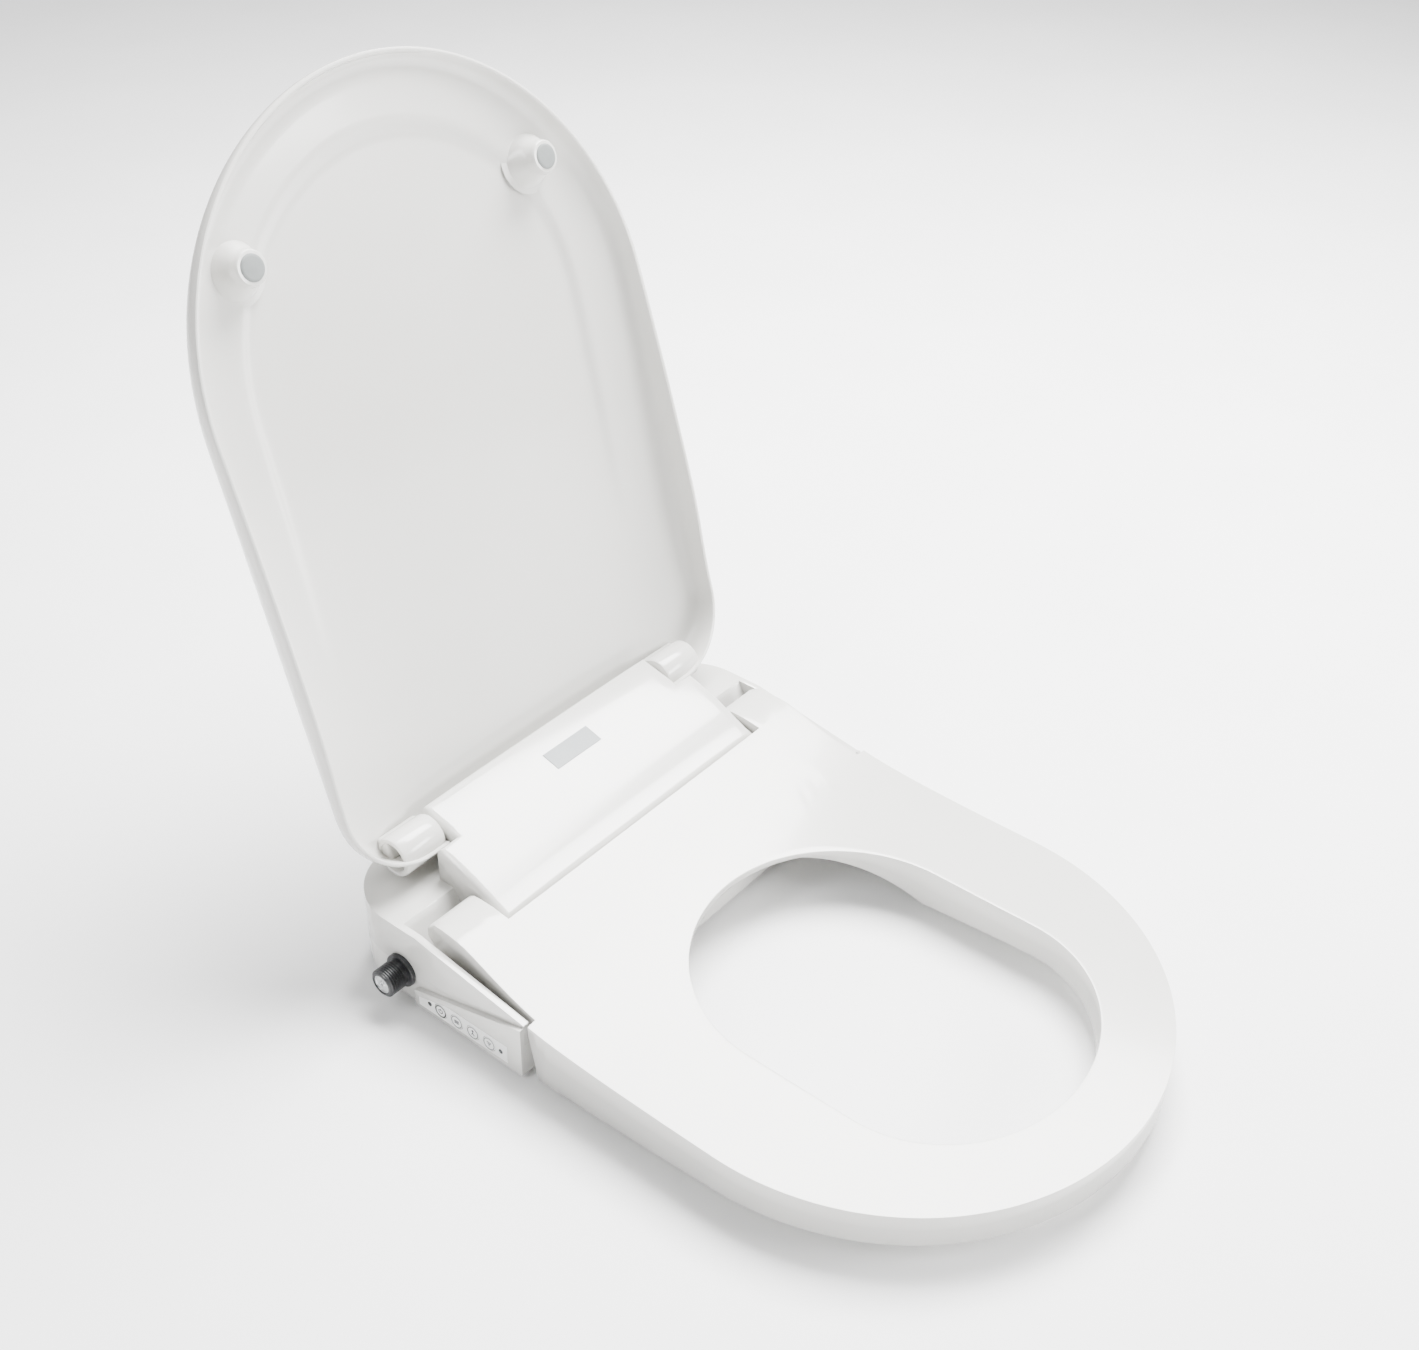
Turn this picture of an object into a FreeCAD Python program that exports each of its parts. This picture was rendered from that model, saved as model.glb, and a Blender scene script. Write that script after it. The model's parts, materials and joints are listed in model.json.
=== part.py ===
import FreeCAD, Part
import math
import os
import re
import Sketcher

# Electric bidet seat.  Millimetres, +Z up, front towards -Y, control buttons on -X.
# Origin: midway between the two bowl bolt slots, on the top of the bowl.

doc = FreeCAD.newDocument("BidetSeat")
V = FreeCAD.Vector

# ---------------------------------------------------------------- driving sizes
SIZES = [
    ("base_half", 186.5, "half width of the base without its side panels"),
    ("base_front", 108, "base front face, ahead of the bolts"),
    ("base_back", 70, "base back face, behind the bolts"),
    ("base_corner", 50, "rear corner radius in plan"),
    ("base_low", 4, "underside of the base above the bowl"),
    ("wall", 3, "moulded wall"),
    ("split_z", 30, "joint between the tray and the upper housing"),
    ("deck_z", 39, "deck below the seat arms"),
    ("rim_front_z", 48, "side rim at the front"),
    ("rim_back_z", 64, "side rim at the back, and the rear deck"),
    ("rim_wide", 5, "thickness of the side rim"),
    ("panel_thick", 3.5, "side panel"),
    ("panel_back", 9, "side panel's back end, behind the bolts"),
    ("panel_back_z", 19, "height of the side panel at its back end"),
    ("panel_front_z", 46, "height of the side panel at its front end"),
    ("hump_half", 135, "half width of the top cover"),
    ("hump_inset", 17, "narrowing of the top cover between the lid lugs, each side"),
    ("hump_front", 46.5, "front face of the top cover, ahead of the bolts"),
    ("hump_back", 52, "back face of the top cover"),
    ("hump_step", 19, "where the cover narrows for the lugs"),
    ("hump_front_z", 69, "top of the cover's front edge"),
    ("hump_mid_z", 88, "top of the cover above the bolts"),
    ("hump_back_z", 102, "top of the cover's back edge"),
    ("lid_axis_y", 41, "lid hinge"),
    ("lid_axis_z", 85, "lid hinge"),
    ("lug_radius", 15, "lid hinge barrel"),
    ("lug_length", 37, "lid hinge barrel"),
    ("lug_gap", 1.5, "side gap between a barrel and the cover"),
    ("lid_pin_radius", 5, "lid hinge pin"),
    ("seat_axis_ahead", 20, "seat hinge, ahead of the bolts"),
    ("seat_axis_z", 61, "seat hinge"),
    ("seat_pin_radius", 4.5, "seat hinge pin"),
    ("arm_nose", 11, "radius of the seat arm's rear end"),
    ("arm_half_back", 174, "half width across the arms at the back"),
    ("arm_half_front", 179.5, "half width across the arms at the ring"),
    ("arm_gap", 2, "gap between the arms and the cover"),
    ("seat_half", 187, "half width of the seat ring"),
    ("seat_reach", 451, "front of the seat, ahead of the bolts"),
    ("ring_back", 112, "back of the ring's side walls"),
    ("seat_back_z", 69.5, "top of the seat beside the cover"),
    ("seat_ring_z", 43.5, "top of the ring at its sides"),
    ("seat_front_z", 41.5, "top of the ring at its front"),
    ("ring_low_back", 6, "underside of the ring at its back"),
    ("ring_low_front", 17, "underside of the ring at its front"),
    ("bridge_z", 43, "underside of the seat over the base"),
    ("hole_half", 110, "half width of the opening"),
    ("hole_back", 125, "back of the opening, ahead of the bolts"),
    ("hole_front", 405, "front of the opening, ahead of the bolts"),
    ("hole_back_round", 105, "length of the opening's rear half ellipse"),
    ("hole_front_round", 95, "length of the opening's front half ellipse"),
    ("lid_over", 3.5, "lid edge beyond the seat edge"),
    ("lid_back", 49, "back edge of the lid when closed"),
    ("lid_corner", 55, "rear corner radius of the lid"),
    ("lid_wall", 3, "lid wall"),
    ("lid_front_z", 61, "top of the lid at its front"),
    ("lid_mid_z", 81, "top of the lid halfway"),
    ("lid_back_z", 110.5, "top of the lid at the hinge"),
    ("lid_rim_front_z", 47.5, "lower edge of the lid at its front"),
    ("lid_rim_back_z", 68, "lower edge of the lid at its back"),
    ("lid_open", 111, "opening angle of the lid, as it stands"),
    ("bumper_x", 127, "lid buffers"),
    ("bumper_ahead", 357, "lid buffers"),
    ("bumper_radius", 9, "lid buffers"),
    ("bolt_spacing", 140, "bowl bolts"),
    ("bolt_slot", 32, "end to end length of a bolt slot"),
    ("bolt_radius", 4.5, "half width of a bolt slot"),
    ("plate_length", 190, "mounting plate"),
    ("plate_depth", 60, "mounting plate"),
    ("plate_thick", 3, "mounting plate"),
    ("tunnel_high", 12, "recess over the mounting plate"),
    ("inlet_radius", 10.4775, "water inlet thread, half of 20.955"),
    ("inlet_y", 5, "water inlet axis"),
    ("inlet_z", 27, "water inlet axis"),
    ("inlet_length", 20, "threaded length"),
    ("thread_pitch", 1.814, "water inlet thread"),
    ("button_pitch", 15, "side buttons"),
    ("button_first", 34, "first side button, ahead of the bolts"),
    ("button_z", 15, "side buttons"),
    ("button_radius", 5.6, "side buttons"),
    ("button_travel", 0.8, "side buttons"),
    ("fit_gap", 0.3, "clearance round moving parts"),
    ("run_gap", 0.05, "radial clearance of a pin in its hole"),
    ("nozzle_x", -18, "wash nozzle"),
    ("nozzle_radius", 5, "wash nozzle"),
    ("nozzle_slope", 12, "wash nozzle, degrees below level"),
    ("nozzle_length", 128, "wash nozzle"),
    ("nozzle_stroke", 60, "wash nozzle"),
    ("nozzle_behind", 22, "nozzle tip behind its door"),
    ("door_top_z", 37, "hinge of the two small doors"),
    ("door_high", 28, "height of the nozzle door"),
    ("nozzle_door_wide", 30, "nozzle door"),
    ("dryer_x", 28, "warm air outlet"),
    ("dryer_door_wide", 44, "dryer door"),
    ("dryer_door_high", 20, "dryer door"),
    ("pinion_radius", 7, "nozzle drive pinion, pitch radius"),
    ("pinion_teeth", 14, "nozzle drive pinion"),
    ("fan_radius", 21, "dryer fan"),
    ("fan_blades", 16, "dryer fan"),
]
sheet = doc.addObject("Spreadsheet::Sheet", "Sizes")
for row, (alias, value, note) in enumerate(SIZES, 1):
    sheet.set("A%d" % row, alias)
    sheet.set("B%d" % row, str(value))
    sheet.set("C%d" % row, note)
    sheet.setAlias("B%d" % row, alias)
doc.recompute()
ALIASES = {alias for alias, value, note in SIZES}
NODES = []


def size(alias):
    """One driving size, read from the sheet."""
    return float(sheet.get(alias))


def formula(text):
    """A formula in size names, as the document's own expression."""
    return re.sub(r"[a-z_]+", lambda m: "Sizes." + m.group(0) if m.group(0) in ALIASES else m.group(0), text)


def bind(item, **formulas):
    """Tie an object's properties to the sheet; x, y, z and turn set its place."""
    short = {"x": "Placement.Base.x", "y": "Placement.Base.y", "z": "Placement.Base.z"}
    for name, text in formulas.items():
        item.setExpression(short.get(name, name), formula(text))
    return item


def place(item, axis=(0, 0, 1), angle=0):
    """Turn an object about an axis through its own origin."""
    item.Placement = FreeCAD.Placement(V(0, 0, 0), FreeCAD.Rotation(V(*axis), angle))
    return item


def node(item, label):
    """Name a finished sub-part, which is written to its own file."""
    item.Label = label
    NODES.append(item)
    return item


def block(name, length, width, height, x, y, z):
    item = doc.addObject("Part::Box", name)
    return bind(item, Length=length, Width=width, Height=height, x=x, y=y, z=z)


ALONG = {"x": ((0, 1, 0), 90), "y": ((1, 0, 0), -90), "z": ((0, 0, 1), 0)}


def rod(name, radius, height, x, y, z, along="z"):
    item = doc.addObject("Part::Cylinder", name)
    place(item, *ALONG[along])
    return bind(item, Radius=radius, Height=height, x=x, y=y, z=z)


def group(name, *parts):
    """Separate solids that share one node."""
    item = doc.addObject("Part::Compound", name)
    item.Links = list(parts)
    return item


def solid_feature(name, shape):
    """A computed shape in the document."""
    item = doc.addObject("Part::Feature", name)
    item.Shape = shape
    return item


# ---------------------------------------------------------------- computed outlines
def polygon(points):
    return Part.makePolygon([V(*p) for p in points + points[:1]])


def upright(wire, bottom, top):
    """A plan outline drawn at z = 0, raised between two heights."""
    face = Part.Face(wire)
    face.translate(V(0, 0, bottom))
    return face.extrude(V(0, 0, top - bottom))


def across(edges, half):
    """A side profile in the YZ plane, pushed out to both sides."""
    face = Part.Face(Part.Wire(edges))
    face.translate(V(-half, 0, 0))
    return face.extrude(V(2 * half, 0, 0))


def lines(points):
    return [Part.makeLine(V(0, *a), V(0, *b)) for a, b in zip(points, points[1:])]


def curve(points):
    spline = Part.BSplineCurve()
    spline.interpolate([V(0, *p) for p in points])
    return spline.toShape()


def box(x0, x1, y0, y1, z0, z1):
    return Part.makeBox(x1 - x0, y1 - y0, z1 - z0, V(x0, y0, z0))


def both_sides(shape):
    """The shape and its mirror image in X."""
    return [shape, shape.mirror(V(0, 0, 0), V(1, 0, 0))]


def quarter(x, y, radius, first):
    """A quarter circle in plan about (x, y), anticlockwise from an angle in degrees."""
    turns = [math.radians(first + turn) for turn in (0, 45, 90)]
    return Part.Arc(*[V(x + radius * math.cos(turn), y + radius * math.sin(turn), 0) for turn in turns]).toShape()


def base_plan(shrink):
    """The base seen from above: square front, round rear corners."""
    half = size("base_half") - shrink
    front = -size("base_front") + shrink
    back = size("base_back") - shrink
    corner = size("base_corner") - shrink
    edges = [
        Part.makeLine(V(-half, front, 0), V(half, front, 0)),
        Part.makeLine(V(half, front, 0), V(half, back - corner, 0)),
        quarter(half - corner, back - corner, corner, 0),
        Part.makeLine(V(half - corner, back, 0), V(corner - half, back, 0)),
        quarter(corner - half, back - corner, corner, 90),
        Part.makeLine(V(-half, back - corner, 0), V(-half, front, 0)),
    ]
    return Part.Wire(edges)


def lid_plan(shrink):
    """The lid seen from above: round front, round rear corners."""
    half = size("seat_half") + size("lid_over")
    centre = -(size("seat_reach") - size("seat_half"))
    back = size("lid_back") - shrink
    corner = size("lid_corner") - shrink
    half = half - shrink
    edges = [
        Part.Arc(V(-half, centre, 0), V(0, centre - half, 0), V(half, centre, 0)).toShape(),
        Part.makeLine(V(half, centre, 0), V(half, back - corner, 0)),
        quarter(half - corner, back - corner, corner, 0),
        Part.makeLine(V(half - corner, back, 0), V(corner - half, back, 0)),
        quarter(corner - half, back - corner, corner, 90),
        Part.makeLine(V(-half, back - corner, 0), V(-half, centre, 0)),
    ]
    return Part.Wire(edges)


def ring_plan(shrink):
    """The seat ring's outer edge seen from above, square at its back."""
    half = size("seat_half") - shrink
    centre = -(size("seat_reach") - size("seat_half"))
    back = -size("ring_back") - shrink
    edges = [
        Part.Arc(V(-half, centre, 0), V(0, centre - half, 0), V(half, centre, 0)).toShape(),
        Part.makeLine(V(half, centre, 0), V(half, back, 0)),
        Part.makeLine(V(half, back, 0), V(-half, back, 0)),
        Part.makeLine(V(-half, back, 0), V(-half, centre, 0)),
    ]
    return Part.Wire(edges)


def half_ellipse(half, length, centre, front):
    """Half of an ellipse across the seat, bulging to the front or to the back."""
    sign = -1 if front else 1
    if length >= half:
        ellipse = Part.Ellipse(V(0, centre + sign * length, 0), V(half, centre, 0), V(0, centre, 0))
    else:
        ellipse = Part.Ellipse(V(half, centre, 0), V(0, centre + sign * length, 0), V(0, centre, 0))
    ends = [ellipse.parameter(V(x, centre, 0)) for x in (half, -half)]
    arc = Part.ArcOfEllipse(ellipse, min(ends), max(ends))
    middle = arc.value((arc.FirstParameter + arc.LastParameter) / 2)
    if (middle.y - centre) * sign < 0:
        arc = Part.ArcOfEllipse(ellipse, max(ends), min(ends) + 2 * math.pi)
    return arc.toShape()


def hole_plan(grow):
    """The opening of the seat seen from above, two half ellipses and two straights."""
    half = size("hole_half") + grow
    rear = -(size("hole_back") + size("hole_back_round"))
    fore = -(size("hole_front") - size("hole_front_round"))
    edges = [
        half_ellipse(half, size("hole_back_round") + grow, rear, False),
        Part.makeLine(V(-half, rear, 0), V(-half, fore, 0)),
        half_ellipse(half, size("hole_front_round") + grow, fore, True),
        Part.makeLine(V(half, fore, 0), V(half, rear, 0)),
    ]
    return Part.Wire(Part.__sortEdges__(edges))


TALL = 300.0

# ---------------------------------------------------------------- base: tray and housing
half = size("base_half")
front = -size("base_front")
back = size("base_back")
low = size("base_low")
wall = size("wall")
split = size("split_z")
deck = size("deck_z")
rim_front = size("rim_front_z")
rim_back = size("rim_back_z")
nozzle_x = size("nozzle_x")
fit_gap = size("fit_gap")


def door_gap(centre, wide, high):
    """The window in the front wall that a small door closes."""
    top = size("door_top_z") + 2
    return box(centre - wide / 2, centre + wide / 2, front - 1, front + wall + 1, top - high - 2, top)


def windows():
    """Both windows of the front wall."""
    room = 2 * fit_gap
    wash = door_gap(nozzle_x, size("nozzle_door_wide") + room, size("door_high") + room)
    dry = door_gap(size("dryer_x"), size("dryer_door_wide") + room, size("dryer_door_high") + room)
    return wash.fuse(dry)


def tray_shape():
    """Lower housing: a pan with a recess for the mounting plate."""
    outer = upright(base_plan(0), low, split)
    inner = upright(base_plan(wall), low + wall, split + 1)
    plate_half = size("plate_length") / 2 + 3
    plate_front = -size("plate_depth") / 2 - 3
    roof = size("tunnel_high")
    tunnel = box(-plate_half - wall, plate_half + wall, plate_front - wall, back, low, roof + wall)
    recess = box(-plate_half, plate_half, plate_front, back + 1, low - 1, roof)
    shape = outer.cut(inner.cut(tunnel)).cut(recess)
    return shape.cut(windows())


def rim_line():
    """Side profile of the housing's rim, from the front to the back."""
    return lines([(front - 1, split), (front - 1, rim_front), (front, rim_front), (-10, rim_back),
                  (back + 1, rim_back), (back + 1, split), (front - 1, split)])


def channel_line(drop):
    """Side profile of the hollow that the seat arms lie in."""
    return lines([(front - 2, deck - drop), (-8, deck - drop), (6 + drop, rim_back - drop),
                  (6 + drop, TALL), (front - 2, TALL), (front - 2, deck - drop)])


def housing_block():
    """Outside of the upper housing, still solid."""
    block_shape = upright(base_plan(0), split, rim_back + 1).common(across(rim_line(), half + 1))
    return block_shape.cut(across(channel_line(0), half - size("rim_wide")))


def housing_shape():
    """Upper housing: side rims, deck and rear deck, open under the top cover."""
    solid = housing_block()
    hollow = upright(base_plan(wall), split - 1, rim_back - wall)
    hollow = hollow.cut(across(channel_line(wall), half - size("rim_wide") + wall))
    rim_hollow = size("rim_wide") + wall
    hollow = hollow.cut(box(half - rim_hollow, half, front - 1, 6, deck - wall, TALL))
    hollow = hollow.cut(box(-half, rim_hollow - half, front - 1, 6, deck - wall, TALL))
    mouth_half = size("hump_half") - size("hump_inset") - 8
    mouth = box(-mouth_half, mouth_half, -size("hump_front") + 8, size("hump_back") - 8, split, TALL)
    return solid.cut(hollow).cut(mouth).cut(windows())


tray = tray_shape()
housing = housing_shape()

# ---------------------------------------------------------------- base: top cover
hump_half = size("hump_half")
hump_rear = hump_half - size("hump_inset")
hump_front = -size("hump_front")
hump_back = size("hump_back")
hump_step = size("hump_step")


def hump_plan(shrink):
    """The cover seen from above, narrower between the lid's hinge barrels."""
    wide = hump_half - shrink
    slim = hump_rear - shrink
    fore = hump_front + shrink
    step = hump_step - shrink
    aft = hump_back - shrink
    return polygon([(-wide, fore, 0), (wide, fore, 0), (wide, step, 0), (slim, step, 0), (slim, aft, 0),
                    (-slim, aft, 0), (-slim, step, 0), (-wide, step, 0)])


def hump_profile(drop, bottom):
    """Side profile of the cover: a rounded nose and a crowned slope."""
    fore = hump_front + drop
    aft = hump_back - drop
    nose = 7.0
    front_top = size("hump_front_z") - drop
    top = curve([(fore + nose, front_top), (-10, size("hump_mid_z") - 4.5 - drop),
                 (20, size("hump_mid_z") + 6 - drop), (aft, size("hump_back_z") - drop)])
    start = V(0, fore, front_top - nose)
    end = V(0, fore + nose, front_top)
    arc = Part.Arc(start, V(0, fore + nose * 0.25, front_top - nose * 0.33), end).toShape()
    rest = lines([(aft, size("hump_back_z") - drop), (aft, bottom), (fore, bottom), (fore, front_top - nose)])
    return [arc, top] + rest


def pin_hole(x0, x1, y, z, radius):
    return Part.makeCylinder(radius, x1 - x0, V(x0, y, z), V(1, 0, 0))


def cover_shape():
    """Top cover: a skin that stands on the deck and on the rear deck."""
    outer = upright(hump_plan(0), deck, TALL).common(across(hump_profile(0, deck), hump_half))
    inner = upright(hump_plan(wall), deck - 1, TALL).common(across(hump_profile(wall, deck - 1), hump_half))
    skin = outer.cut(inner).cut(housing_block())
    lid_hole = size("lid_pin_radius") + size("run_gap")
    seat_hole = size("seat_pin_radius") + size("run_gap")
    for hole in both_sides(pin_hole(hump_rear - wall - 1, hump_rear + 1, size("lid_axis_y"), size("lid_axis_z"),
                                    lid_hole)):
        skin = skin.cut(hole)
    for hole in both_sides(pin_hole(hump_half - wall - 1, hump_half + 1, -size("seat_axis_ahead"),
                                    size("seat_axis_z"), seat_hole)):
        skin = skin.cut(hole)
    return skin


cover = cover_shape()

# the sensor window lies in a shallow recess of the cover, on its slope
SENSOR = {"x": 4.0, "y": 22.0, "wide": 46.0, "deep": 16.0, "thick": 1.6}
sensor_slope = math.degrees(math.atan2(size("hump_back_z") - size("hump_mid_z") + 4.5, hump_back + 10))
sensor_z = size("hump_mid_z") + 7.0


def sensor_block(grow, thick, lift):
    """A flat block on the cover's slope."""
    wide = SENSOR["wide"] + 2 * grow
    deep = SENSOR["deep"] + 2 * grow
    shape = Part.makeBox(wide, deep, thick, V(-wide / 2, -deep / 2, lift))
    shape.rotate(V(0, 0, 0), V(1, 0, 0), sensor_slope)
    shape.translate(V(SENSOR["x"], SENSOR["y"], sensor_z))
    return shape


cover = cover.cut(sensor_block(0, 10, -SENSOR["thick"]))
window = sensor_block(0, SENSOR["thick"], -SENSOR["thick"])
node(solid_feature("BaseTray", tray), "base_tray")
node(solid_feature("UpperHousing", housing), "upper_housing")
node(solid_feature("TopCover", cover), "top_cover")
node(solid_feature("SensorWindow", window), "sensor_window")

# ---------------------------------------------------------------- lid
lid_y = size("lid_axis_y")
lid_z = size("lid_axis_z")
lid_front = -(size("seat_reach") + size("lid_over"))
lug = size("lug_radius")
lug_start = hump_rear + size("lug_gap")
lug_end = lug_start + size("lug_length")


def lid_profile(drop, bottom_drop):
    """Side profile of the closed lid, from its lower edge to its crowned top."""
    aft = size("lid_back") + 1
    fore = lid_front - 1
    top = curve([(fore, size("lid_front_z") - drop), (-260, size("lid_mid_z") - drop),
                 (-60, size("lid_back_z") - 7 - drop), (aft, size("lid_back_z") - drop)])
    low_front = size("lid_rim_front_z") - bottom_drop
    low_back = size("lid_rim_back_z") - bottom_drop
    rim = curve([(aft, low_back), (-10, low_back - 0.6), (-90, low_front + 10), (-250, low_front + 2),
                 (fore, low_front)])
    rest = lines([(aft, size("lid_back_z") - drop), (aft, low_back)])
    return [top] + rest + [rim] + lines([(fore, low_front), (fore, size("lid_front_z") - drop)])


def lid_closed():
    """The lid as it lies closed: a shell with its two hinge barrels."""
    outer = upright(lid_plan(0), 0, TALL).common(across(lid_profile(0, 0), TALL))
    inner = upright(lid_plan(size("lid_wall")), -1, TALL)
    inner = inner.common(across(lid_profile(size("lid_wall"), 20), TALL))
    shell = outer.cut(inner)
    ceiling = size("lid_back_z") - size("lid_wall") - 2.2
    shell = shell.cut(box(-lug_start, lug_start, lid_y - 30, size("lid_back") + 5, 0, ceiling))
    barrel = pin_hole(lug_start, lug_end, lid_y, lid_z, lug)
    web = box(lug_start, lug_end, lid_y - lug, size("lid_back"), lid_z, size("lid_back_z") - 3)
    for side in both_sides(barrel.fuse(web)):
        shell = shell.fuse(side)
    shell = shell.cut(box(-lug_start, lug_start, 0, lid_y + 40, 0, ceiling - 4))
    bore = pin_hole(lug_start - 1, lug_end - 14, lid_y, lid_z, size("lid_pin_radius"))
    recess = pin_hole(lug_end - 11, lug_end + 1, lid_y, lid_z, lug - 4)
    for side in both_sides(bore.fuse(recess)):
        shell = shell.cut(side)
    return shell.removeSplitter()


def opened(shape):
    """The closed lid's pieces, turned up to where the lid stands open."""
    turned = shape.copy()
    turned.rotate(V(0, lid_y, lid_z), V(1, 0, 0), -size("lid_open"))
    return turned


node(solid_feature("LidShell", opened(lid_closed())), "lid_shell")
pins = both_sides(pin_hole(hump_rear - 22, lug_end - 14.5, lid_y, lid_z, size("lid_pin_radius")))
node(solid_feature("LidPins", Part.Compound([opened(pin) for pin in pins])), "lid_hinge_pins")

# ---------------------------------------------------------------- seat
seat_y = -size("seat_axis_ahead")
seat_z = size("seat_axis_z")
nose = size("arm_nose")
ring_back = -size("ring_back")
seat_front = -size("seat_reach")
bridge = size("bridge_z")
BRIDGE_AHEAD = 16.0
DOOR_AHEAD = 32.0
HEEL_AHEAD = 120.0
HEEL_SIDE = 6.0
arm_in = hump_half + size("arm_gap")


def seat_top_points(drop):
    """Top line of the seat, from the cover to the front."""
    ring = size("seat_ring_z")
    rise = size("seat_back_z") - ring
    return [(hump_front - 2, size("seat_back_z") - drop), (ring_back + 20, ring + 0.44 * rise - drop),
            (ring_back - 20, ring + 0.16 * rise - drop), (-200, ring + 0.4 - drop),
            (-320, ring - 0.8 - drop), (seat_front - 1, size("seat_front_z") - drop)]


def seat_low_points(lift):
    """Underside of the ring, from its back to the front."""
    back_low = size("ring_low_back") + lift
    fore_low = size("ring_low_front") + lift
    drop = fore_low - back_low
    return [(ring_back, back_low), (-190, back_low + 0.25 * drop), (-300, back_low + 0.85 * drop),
            (seat_front - 1, fore_low)]


def seat_profile():
    """Side profile of the whole seat with the round end of its arms."""
    top = seat_top_points(0)
    below = seat_low_points(0)
    crown = V(0, seat_y, seat_z + nose)
    tip = V(0, seat_y + nose, seat_z)
    foot = V(0, seat_y, seat_z - nose)
    end = Part.Arc(crown, tip, foot).toShape()
    flat = lines([(seat_y, seat_z + nose), top[0]])
    under = lines([below[0], (ring_back, bridge), (ring_back + 8, bridge), (seat_y, seat_z - nose)])
    front_line = lines([top[-1], below[-1]])
    return [end] + flat + [curve(top)] + front_line + [curve(below)] + under


def arm_plan():
    """Both arms and the bridge between them, seen from above."""
    wide = size("arm_half_front")
    slim = size("arm_half_back")
    fore = ring_back - 1
    aft = seat_y + nose + 1
    notch = hump_front - 2
    return polygon([(-wide, fore, 0), (wide, fore, 0), (slim, aft, 0), (arm_in, aft, 0), (arm_in, notch, 0),
                    (-arm_in, notch, 0), (-arm_in, aft, 0), (-slim, aft, 0)])


def heel(grow):
    """The hollow under the back of the opening: level for the doors, then down to the ring's underside."""
    room = size("hole_half") + HEEL_SIDE + grow
    level = ring_back - DOOR_AHEAD - grow
    points = [(0, ring_back + 1, -1), (0, ring_back + 1, bridge + grow), (0, level, bridge + grow),
              (0, ring_back - HEEL_AHEAD - grow, size("ring_low_back")), (0, ring_back - HEEL_AHEAD - grow, -1)]
    face = Part.Face(polygon(points))
    face.translate(V(-room, 0, 0))
    return face.extrude(V(2 * room, 0, 0))


def seat_solid():
    """Outside of the seat with its opening, still solid."""
    plan = upright(ring_plan(0), 0, TALL).fuse(upright(arm_plan(), 0, TALL)).removeSplitter()
    shape = plan.common(across(Part.__sortEdges__(seat_profile()), TALL))
    shape = shape.cut(upright(hole_plan(0), -1, TALL))
    shape = shape.cut(box(-arm_in - 10, arm_in + 10, ring_back - BRIDGE_AHEAD, 0, 0, bridge))
    return shape.cut(heel(0))


def band(top_drop, low_lift, shrink, grow):
    """A layer of the ring between two lines that follow its top and its underside."""
    top = seat_top_points(top_drop)
    below = seat_low_points(low_lift)
    stop = ring_back - size("wall")
    side = Part.__sortEdges__([curve(top), curve(below)] + lines([top[-1], below[-1]])
                              + lines([top[0], below[0]]))
    layer = upright(ring_plan(shrink), 0, TALL).common(across(side, TALL))
    layer = layer.cut(upright(hole_plan(grow), -1, TALL))
    layer = layer.cut(box(-TALL, TALL, stop, 50, -1, TALL))
    inner = arm_in + 10 + grow
    layer = layer.cut(box(-inner, inner, ring_back - BRIDGE_AHEAD - grow, 0, -1, TALL))
    return layer.cut(heel(grow))


seat_shell = seat_solid().cut(band(wall, -10, wall, wall))

slit = 0.15
inside = band(wall, 0, wall + slit, wall + slit)
seat_plate = inside.cut(band(-1, wall, 0, 0))
seat_foil = band(wall, 0, wall + 4, wall + 4).cut(band(wall + 0.4, -20, 0, 0))
pivots = both_sides(pin_hole(hump_half - 20, arm_in + 26, seat_y, seat_z, size("seat_pin_radius")))
for pivot in pivots:
    seat_shell = seat_shell.cut(pivot)


def seat_pads():
    """Four rubber pads between the ring and the bowl."""
    pads = []
    for x, y in ((148, -200), (85, -400)):
        pad = Part.makeCylinder(9, size("ring_low_front") + 8, V(x, y, 0))
        for part in both_sides(pad):
            pads.append(min(part.cut(seat_plate).Solids, key=lambda one: one.BoundBox.ZMin))
    return Part.Compound(pads)


node(solid_feature("SeatTop", seat_shell), "seat_top")
node(solid_feature("SeatBase", seat_plate), "seat_base")
node(solid_feature("SeatFoil", seat_foil), "seat_heater")
node(solid_feature("SeatPads", seat_pads()), "seat_buffers")
node(solid_feature("SeatPins", Part.Compound(pivots)), "seat_hinge_pins")


# ---------------------------------------------------------------- lid buffers
def lid_buffers():
    """A flared boss under the lid's ceiling, and the grey pad in its end, both sides."""
    y = -size("bumper_ahead")
    pad_top = size("seat_ring_z") + 5
    radius = size("bumper_radius")
    boss = Part.makeCone(radius + 2, radius + 9, 40, V(size("bumper_x"), y, pad_top - 2))
    pad = Part.makeCylinder(radius, 4.5, V(size("bumper_x"), y, pad_top - 4.5))
    inner = upright(lid_plan(size("lid_wall")), -1, TALL)
    inner = inner.common(across(lid_profile(size("lid_wall"), 20), TALL))
    boss = boss.common(inner).cut(pad)
    return both_sides(boss), both_sides(pad)


bosses, pads = lid_buffers()
lid_body = doc.getObject("LidShell")
lid_body.Shape = lid_body.Shape.fuse([opened(boss) for boss in bosses]).removeSplitter()
node(solid_feature("LidPads", Part.Compound([opened(pad) for pad in pads])), "lid_buffers")

# ---------------------------------------------------------------- base: plate, feet, side panels
def origin_plane(body, role):
    return [item for item in body.Origin.OriginFeatures if item.Role == role][0]


def sketch_on(body, name, role):
    sketch = body.newObject("Sketcher::SketchObject", name)
    sketch.AttachmentSupport = [(origin_plane(body, role), "")]
    sketch.MapMode = "FlatFace"
    return sketch


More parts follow.
